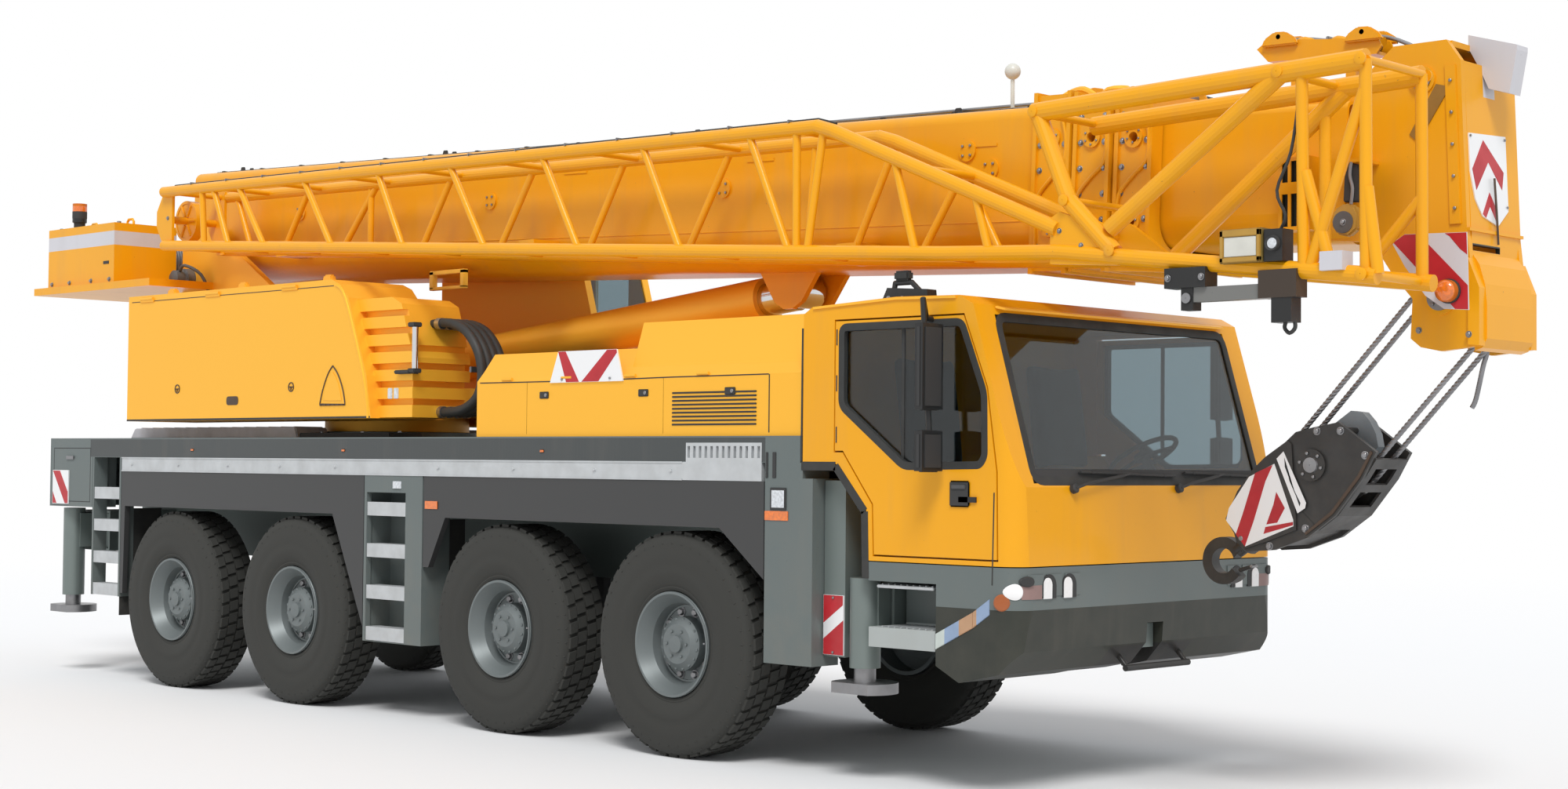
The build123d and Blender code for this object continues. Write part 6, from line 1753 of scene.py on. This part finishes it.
class CRANE_OT_jib_trim(bpy.types.Operator):
    """Pins, floodlight, camera, tip sheave and clips of the folded jib"""

    bl_idname = "crane.jib_trim"
    bl_label = "Jib trim"

    def execute(self, context):
        near, far = JIB_NEAR, JIB_FAR
        shape = shaper("boom_paint")
        for x, z in JIB_PINS:
            for y, out in ((near - 0.046, -1), (far + 0.046, 1)):
                shape.turned(at(x, y, z), (0, out, 0), ((0.002, 0.0), (0.03, 0.0), (0.03, 0.01),
                                                        (0.022, 0.014), (0.002, 0.014)), 20)
        shape.use("pin_steel")
        for x in (8.56, 8.7, 8.84):
            for z in (2.905, 3.01 if x < 8.7 else 2.925):
                shape.bolt(at(x, near - 0.016, z), (0, -1, 0), 0.009)
        # grooved rim, spokes and cheek bolts of the tip sheave
        middle = (near + far) / 2
        shape.use("boom_paint").turned(at(-0.38, middle, 3.7), (0, 1, 0),
                                       ((0.14, -0.04), (0.163, -0.04), (0.163, -0.03), (0.162, 0.0),
                                        (0.163, 0.03), (0.163, 0.04), (0.14, 0.04)), 48)
        for arm in arms(6):
            for y in (-0.037, 0.037):
                hub = at(-0.38, middle + y, 3.7)
                shape.tube((hub + arm * 0.04, hub + arm * 0.142), 0.011, 6)
        shape.use("pin_steel")
        for y, out in ((far - 0.018, 1), (near + 0.018, -1)):
            shape.bolts(upright(y, ((-0.29, 3.5), (-0.29, 3.9), (-0.3, 3.7))), (0, out, 0), 0.01)
        shape.piece("jib_pins", "boom_base", "steel")

        shape = shaper("lamp_ball")
        # floodlight: glass in its rim and cooling ribs behind; camera lens; cable to them
        shape.block(at(9.602, -1.268, 2.802), at(9.79, -1.258, 2.904), 0.01)
        shape.use("dull_yellow")
        for (x0, x1), (z0, z1) in (((9.582, 9.604), (2.778, 2.936)), ((9.788, 9.81), (2.778, 2.936)),
                                   ((9.582, 9.81), (2.902, 2.938)), ((9.582, 9.81), (2.777, 2.804))):
            shape.block(at(x0, -1.273, z0), at(x1, -1.256, z1), 0.004)
        for k in range(7):
            x = 9.6 + k * 0.031
            shape.block(at(x, -1.165, 2.785), at(x + 0.01, -1.135, 2.93), 0.002)
        shape.use("black_plastic").turned(at(9.87, -1.25, 2.86), (0, -1, 0), (
            (0.002, 0.0), (0.04, 0.0), (0.036, 0.018), (0.028, 0.012), (0.002, 0.01)), 24)
        shape.use("clear_lens").disc(at(9.87, -1.256, 2.86), (0, -1, 0), 0.026, 0.008, 20)
        shape.use("hose_rubber").tube(curved([at(x, y, z) for x, y, z in (
            (9.87, -1.18, 2.935), (9.9, -1.19, 3.0), (9.86, -1.2, 3.12), (9.93, -1.19, 3.3),
            (9.97, -1.19, 3.55), (9.96, -1.19, 3.66))]), 0.008, 8)
        shape.tube(curved(upright(-1.19, ((9.905, 2.485), (9.898, 2.455), (9.925, 2.43), (9.955, 2.455),
                                          (9.95, 2.5)))), 0.01, 8)
        shape.use("pin_steel")
        for x0 in (9.262, 9.458):
            shape.bolt(at(x0, -1.241, 2.722), (0, -1, 0), 0.011)
        shape.turned(at(9.365, -1.226, 2.62), (0, -1, 0), ((0.002, 0.0), (0.026, 0.0), (0.026, 0.01),
                                                           (0.002, 0.012)), 20)
        shape.piece("jib_floodlight", "boom_base", "lamp_lens")

        # electric cable clipped along the near upper chord
        shape = shaper("hose_rubber")
        line = [(-0.2, 3.947), (6.8, 3.772), (6.94, 3.733)]
        shape.tube([at(x, near + 0.02, z + 0.004) for x, z in line], 0.009, 8)
        shape.use("pin_steel")
        for k in range(14):
            x = 0.1 + k * 0.5
            z = 3.947 - (x + 0.2) * 0.025
            shape.block(at(x - 0.008, near - 0.03, z - 0.006), at(x + 0.008, near + 0.036, z + 0.012), 0.003)
        shape.piece("jib_cable", "boom_base", "black_plastic")
        return {"FINISHED"}


class CRANE_OT_hook_trim(bpy.types.Operator):
    """Wound ropes of the falls, sheave grooves, edge ribs, bolts and latch of the hook block"""

    bl_idname = "crane.hook_trim"
    bl_label = "Hook block trim"

    def execute(self, context):
        shape = shaper("rope_steel")
        for y in SHEAVES:
            for across in (-ROPE_ACROSS, ROPE_ACROSS):
                laid_rope(shape, on_falls(0.02, across, y), on_falls(1.14, across, y), 0.0125)
        shape.piece("rope_falls", "hook_block", "steel")

        shape = shaper("block_paint")
        for sign in (-1, 1):
            out = Vector((0, sign, 0))
            face = sign * 0.19
            # raised rib along the cheek's front edge and its bolts
            shape.use("brown_trim" if sign < 0 else "block_paint")
            rib = [on_falls(a, c, face) for a, c in ((0.858, 0.214), (1.0, 0.25), (1.25, 0.266),
                                                     (1.44, 0.228), (1.44, 0.212), (1.25, 0.25), (1.0, 0.234),
                                                     (0.862, 0.198))]
            shape.prism(rib, out * 0.008, 0.002)
            shape.use("pin_steel")
            for a, c in ((0.9, 0.19), (0.905, 0.0), (1.0, -0.1), (1.42, 0.2), (1.64, 0.11), (1.73, -0.04)):
                shape.bolt(on_falls(a, c, sign * 0.19), out, 0.013)
            for arm in arms(6):
                shape.bolt(on_falls(1.15 + 0.064 * arm.x, 0.064 * arm.z, sign * 0.206), out, 0.008, False)
            shape.turned(on_falls(1.15, 0.0, sign * 0.206), out,
                         ((0.002, 0.0), (0.044, 0.0), (0.04, 0.008), (0.002, 0.01)), 28)
            # cross seams of the cheek plates
            shape.use("seal_rubber")
            start, end = on_falls(1.365, -0.19, face), on_falls(1.365, 0.232, face)
            shape.prism([start, start + Vector((-0.003, 0, -0.003)), end + Vector((-0.003, 0, -0.003)), end],
                        out * 0.0015)
        # grooves of both sheaves
        for y in SHEAVES:
            shape.use("cast_iron").turned(on_falls(1.15, 0.0, y), (0, 1, 0),
                                          ((0.18, -0.0265), (0.2045, -0.0265), (0.2, -0.01), (0.2, 0.01),
                                           (0.2045, 0.0265), (0.18, 0.0265)), 56)
        # swivel nut above the hook, and the latch across its mouth
        shape.use("cast_iron")
        top, end = on_falls(1.77, -0.068), on_falls(1.845, -0.086)
        shape.turned(top, end - top, ((0.002, 0.0), (0.066, 0.0), (0.07, 0.012), (0.07, 0.04), (0.056, 0.06),
                                      (0.002, 0.066)), 8)
        shape.use("block_paint")
        latch = [on_falls(a, c, -0.016) for a, c in ((1.862, 0.03), (1.884, 0.04), (1.96, -0.004),
                                                     (1.95, -0.022))]
        shape.prism(latch, (0, 0.032, 0), 0.004)
        shape.use("pin_steel").tube((on_falls(1.874, 0.034, -0.03), on_falls(1.874, 0.034, 0.03)), 0.008, 8)
        shape.piece("hook_block_trim", "hook_block", "black_paint")
        return {"FINISHED"}


class CRANE_OT_lamp_trim(bpy.types.Operator):
    """Headlamps, tail lamps, cover seams and latches, and the guard beside the turntable"""

    bl_idname = "crane.lamp_trim"
    bl_label = "Lamps and cover trim"

    def execute(self, context):
        bolt = context.scene.crane_sizes.bolt
        for side, sign in SIDES:
            out = Vector((0, sign, 0))
            shape = shaper("black_plastic")
            low, high = LAMP_Z
            shape.use("nose_paint")
            for near, far in LAMP_BOXES:
                nose_patch(shape, sign * (near - 0.003), sign * (far + 0.003), low - 0.003, high + 0.003,
                           0.003)
            # outer lamp: white oval, a painted reflection in its glass, under a dark hood, beside a mauve
            # field
            shape.use("mauve_patch")
            nose_patch(shape, sign * 1.062, sign * 1.205, 1.078, 1.152, 0.004)
            shape.use("black_plastic")
            nose_oval(shape, sign * 1.176, 1.172, 0.042, 0.028, 0.016)
            shape.use("painted_reflection_white")
            nose_oval(shape, sign * 1.232, 1.118, 0.034, 0.043, 0.008)
            # two arched lamps, their white inner arches a painted reflection in the glass
            for middle in (0.998, 0.82):
                shape.use("black_plastic")
                nose_arch(shape, sign * middle, 0.06, 1.08, 1.208, 0.006)
                shape.use("painted_reflection_white")
                nose_arch(shape, sign * (middle + 0.018), 0.036, 1.078, 1.19, 0.01)
            # tail lamps: red, amber and clear fields in a black housing
            low, high = sorted((sign * 0.905, sign * 1.225))
            third = (high - low) / 3
            for k, finish in enumerate(("red_lens", "amber_lens", "clear_lens")):
                shape.use(finish)
                y0 = low + k * third if sign < 0 else high - (k + 1) * third
                shape.block(at(-1.958, y0 + 0.006, 1.428), at(-1.943, y0 + third - 0.006, 1.512), 0.006)
            shape.piece(f"lamp_faces_{side}", "carrier", "lamp_lens")

            # engine cover: seams, latches and louvre
            shape = shaper("seal_rubber")
            face = sign * COVER

            def seam(points, wide=0.007):
                """Dark groove line on the cover's side."""
                for (x0, z0), (x1, z1) in zip(points, points[1:]):
                    ring = [at(x0, face, z0 - wide / 2), at(x1, face, z1 - wide / 2),
                            at(x1, face, z1 + wide / 2), at(x0, face, z0 + wide / 2)]
                    shape.prism([p - out * 0.001 for p in ring], out * 0.0025)

            seam(((3.812, 2.303), (4.91, 2.298), (5.67, 2.305), (6.499, 2.306)))
            seam(((4.3, 1.965), (4.3, 2.298)))
            seam(((5.6, 1.965), (5.6, 2.3)))
            shape.block(at(6.5, face - sign * 0.002, 1.965), at(6.507, face + sign * 0.002, 2.305))
            for x in (4.475, 5.42, 6.18):
                shape.use("black_plastic").block(at(x - 0.045, face - sign * 0.001, 2.19),
                                                 at(x + 0.045, face + sign * 0.006, 2.235), 0.004)
                shape.use("pin_steel").disc(at(x + 0.02, face + sign * 0.005, 2.2125), out, 0.012, 0.006, 16)
            shape.use("yellow_paint")
            for x in (4.1, 4.7, 5.3, 5.95):
                shape.tube((at(x - 0.05, face + sign * 0.004, 2.322),
                            at(x + 0.05, face + sign * 0.004, 2.322)), 0.01, 8)
            shape.use("black_plastic")
            for k in range(9):
                z = 2.01 + k * 0.024
                shape.block(at(5.68, face - sign * 0.001, z), at(6.4, face + sign * 0.005, z + 0.011), 0.002)
            shape.piece(f"cover_trim_{side}", "carrier", "yellow_paint")

            # ribbed guard along the deck beside the turntable
            shape = shaper("tail_band")
            low, high = sorted((sign * 0.66, sign * 0.95))
            outline = [(-1.2, 1.945), (-1.13, 2.03), (1.2, 2.03), (1.24, 1.945)]
            shape.prism(upright(low, outline), (0, high - low, 0), 0.008)
            for k in range(14):
                x = -1.05 + k * 0.17
                shape.block(at(x - 0.012, low + 0.02, 2.028), at(x + 0.012, high - 0.02, 2.036), 0.002)
            shape.use("black_plastic").block(at(1.26, low, 1.945), at(2.4, high, 1.985), 0.006)
            shape.use("pin_steel")
            for x in (1.34, 1.86, 2.32):
                shape.bolt(at(x, (low + high) / 2, 1.985), (0, 0, 1), bolt)
            shape.piece(f"deck_guard_{side}", "carrier", "light_metal")
        return {"FINISHED"}


class CRANE_OT_crew_cab_trim(bpy.types.Operator):
    """Seat, armrests with levers, pedals and fittings of the crane operator's cab"""

    bl_idname = "crane.crew_cab_trim"
    bl_label = "Operator's cab trim"

    def execute(self, context):
        padded_seat("crew_seat_cushion", "superstructure", at(1.34, 0.67, 2.392), Vector((0, 0.47, 0)),
                    Vector((0.52, 0, 0)), Vector((0, 0, 0.15)))
        padded_seat("crew_seat_back", "superstructure", at(1.372, 0.67, 2.52), Vector((0, 0.47, 0)),
                    Vector((0, 0, 0.645)), Vector((-0.13, 0, 0)))
        shape = shaper("black_plastic")
        for y in (0.665, 1.075):
            shape.block(at(1.44, y, 2.64), at(1.86, y + 0.075, 2.7), 0.016)
            shape.tube((at(1.5, y + 0.037, 2.5), at(1.5, y + 0.037, 2.645)), 0.02, 10)
            shape.turned(at(1.8, y + 0.037, 2.695), (0, 0, 1),
                         ((0.002, 0.0), (0.03, 0.0), (0.018, 0.03), (0.009, 0.04), (0.009, 0.11),
                          (0.02, 0.125), (0.022, 0.16), (0.002, 0.178)), 20)
        shape.use("cabin_plastic").block(at(2.06, 0.76, 2.16), at(2.2, 1.06, 2.2), 0.01)
        shape.block(at(1.98, 1.0, 2.82), at(2.08, 1.14, 3.0), 0.014)
        shape.use("black_plastic").tube((at(2.03, 1.07, 2.2), at(2.03, 1.07, 2.83)), 0.016, 10)
        for y in (0.79, 0.96):
            shape.prism([at(2.12, y, 2.205), at(2.21, y, 2.25), at(2.204, y, 2.262), at(2.114, y, 2.217)],
                        (0, 0.08, 0), 0.003)
        shape.piece("crew_controls", "superstructure", "black_plastic")
        return {"FINISHED"}


# ---------------------------------------------------------------- stage
# floor's radius, and the distances over which its colour fades to white
FLOOR_RADIUS = 120.0
FADE_FROM, FADE_TO = 9.0, 26.0
WHITE = (1.0, 1.0, 1.0, 1.0)
# direction from the crane to the key light, and how wide the light looks
KEY_SIDE = (0.55, -0.62, 1.0)
KEY_ANGLE = math.radians(20.0)
SENSOR = 36.0


def stage_floor(colour):
    """Pale floor that fades to white far away and keeps the crane's shadow."""
    data = bpy.data.meshes.new("floor")
    mesh = bmesh.new()
    bmesh.ops.create_circle(mesh, cap_ends=True, segments=64, radius=FLOOR_RADIUS)
    mesh.to_mesh(data)
    mesh.free()
    floor = bpy.data.objects.new("floor", data)
    bpy.context.scene.collection.objects.link(floor)
    material, tree, shader = new_material("floor_paint")
    shader.inputs["Base Color"].default_value = tuple(colour)
    shader.inputs["Roughness"].default_value = 0.85
    place = tree.nodes.new("ShaderNodeTexCoord").outputs["Object"]
    length = tree.nodes.new("ShaderNodeVectorMath")
    length.operation = "LENGTH"
    tree.links.new(place, length.inputs[0])
    far = ramp(tree, length.outputs["Value"], FADE_FROM, FADE_TO)
    rays = tree.nodes.new("ShaderNodeLightPath")
    plain = tree.nodes.new("ShaderNodeEmission")
    plain.inputs["Color"].default_value = WHITE
    plain.inputs["Strength"].default_value = 1.0
    blend = tree.nodes.new("ShaderNodeMixShader")
    tree.links.new(times(tree, far, rays.outputs["Is Camera Ray"]), blend.inputs["Fac"])
    tree.links.new(shader.outputs["BSDF"], blend.inputs[1])
    tree.links.new(plain.outputs["Emission"], blend.inputs[2])
    tree.links.new(blend.outputs["Shader"], tree.nodes["Material Output"].inputs["Surface"])
    data.materials.append(material)


def stage_world(strength):
    """Even light from all round, and plain white behind the crane for camera, gloss and glass."""
    world = bpy.data.worlds.new("studio")
    world.use_nodes = True
    tree = world.node_tree
    light = tree.nodes["Background"]
    light.inputs["Color"].default_value = (0.93, 0.96, 1.0, 1.0)
    light.inputs["Strength"].default_value = strength
    white = tree.nodes.new("ShaderNodeBackground")
    white.inputs["Color"].default_value = WHITE
    white.inputs["Strength"].default_value = 1.0
    rays = tree.nodes.new("ShaderNodeLightPath")
    seen = math_node(tree, "MAXIMUM", rays.outputs["Is Camera Ray"], rays.outputs["Is Glossy Ray"])
    seen = math_node(tree, "MAXIMUM", seen, rays.outputs["Is Transmission Ray"])
    blend = tree.nodes.new("ShaderNodeMixShader")
    tree.links.new(seen, blend.inputs["Fac"])
    tree.links.new(light.outputs["Background"], blend.inputs[1])
    tree.links.new(white.outputs["Background"], blend.inputs[2])
    tree.links.new(blend.outputs["Shader"], tree.nodes["World Output"].inputs["Surface"])
    bpy.context.scene.world = world


class CRANE_OT_stage(bpy.types.Operator):
    """Pale floor, even sky, soft key light and camera"""

    bl_idname = "crane.stage"
    bl_label = "Stage"

    def execute(self, context):
        scene = context.scene
        settings = scene.crane_stage
        stage_floor(settings.floor)
        stage_world(settings.sky)
        key = bpy.data.lights.new("key", "SUN")
        key.energy = settings.sun
        key.angle = KEY_ANGLE
        lamp = bpy.data.objects.new("key", key)
        lamp.rotation_euler = Vector(KEY_SIDE).to_track_quat("Z", "Y").to_euler()
        scene.collection.objects.link(lamp)
        pitch, roll, heading = settings.turn
        camera = bpy.data.objects.new("camera", bpy.data.cameras.new("camera"))
        camera.data.lens = settings.lens
        camera.data.sensor_width = SENSOR
        camera.data.clip_end = 500.0
        camera.matrix_world = (Matrix.Translation(settings.camera) @ Matrix.Rotation(heading, 4, "Z")
                               @ Matrix.Rotation(pitch, 4, "X") @ Matrix.Rotation(roll, 4, "Z"))
        scene.collection.objects.link(camera)
        scene.camera = camera
        scene.view_settings.view_transform = "Standard"
        return {"FINISHED"}


# ---------------------------------------------------------------- add-on
PIECES = (CRANE_OT_finish_solids, CRANE_OT_tyres, CRANE_OT_wheel_hardware, CRANE_OT_carrier_hardware,
          CRANE_OT_windscreen_trim, CRANE_OT_door_trim, CRANE_OT_cab_trim, CRANE_OT_cab_inside,
          CRANE_OT_signs, CRANE_OT_hood_trim, CRANE_OT_tail_trim, CRANE_OT_boom_trim, CRANE_OT_head_trim,
          CRANE_OT_jib_trim, CRANE_OT_hook_trim, CRANE_OT_lamp_trim, CRANE_OT_crew_cab_trim, CRANE_OT_stage)


class CRANE_PT_sidebar(bpy.types.Panel):
    """Lists the settings and the pieces of the crane."""

    bl_idname = "CRANE_PT_sidebar"
    bl_label = "Mobile crane"
    bl_space_type = "VIEW_3D"
    bl_region_type = "UI"
    bl_category = "Crane"

    def draw(self, context):
        column = self.layout.column()
        for group in (context.scene.crane_colours, context.scene.crane_sizes, context.scene.crane_stage):
            for name in group.__annotations__:
                column.prop(group, name)
        for operator in PIECES:
            column.operator(operator.bl_idname)


SETTINGS = (CraneColours, CraneSizes, CraneStage)


def register():
    for item in (*SETTINGS, *PIECES, CRANE_PT_sidebar):
        bpy.utils.register_class(item)
    bpy.types.Scene.crane_colours = PointerProperty(type=CraneColours)
    bpy.types.Scene.crane_sizes = PointerProperty(type=CraneSizes)
    bpy.types.Scene.crane_stage = PointerProperty(type=CraneStage)


def unregister():
    del bpy.types.Scene.crane_stage, bpy.types.Scene.crane_sizes, bpy.types.Scene.crane_colours
    for item in reversed((*SETTINGS, *PIECES, CRANE_PT_sidebar)):
        bpy.utils.unregister_class(item)


def run(operator):
    """Runs one operator by its name; an unfinished one stops the script."""
    group, name = operator.bl_idname.split(".")
    if getattr(getattr(bpy.ops, group), name)() != {"FINISHED"}:
        raise RuntimeError(f"{operator.bl_idname} didn't finish")


def plain(box):
    """Corners as lists of numbers."""
    return [[round(value, 6) for value in corner] for corner in box]


def main():
    register()
    for operator in PIECES:
        run(operator)


if __name__ == "__main__":
    main()
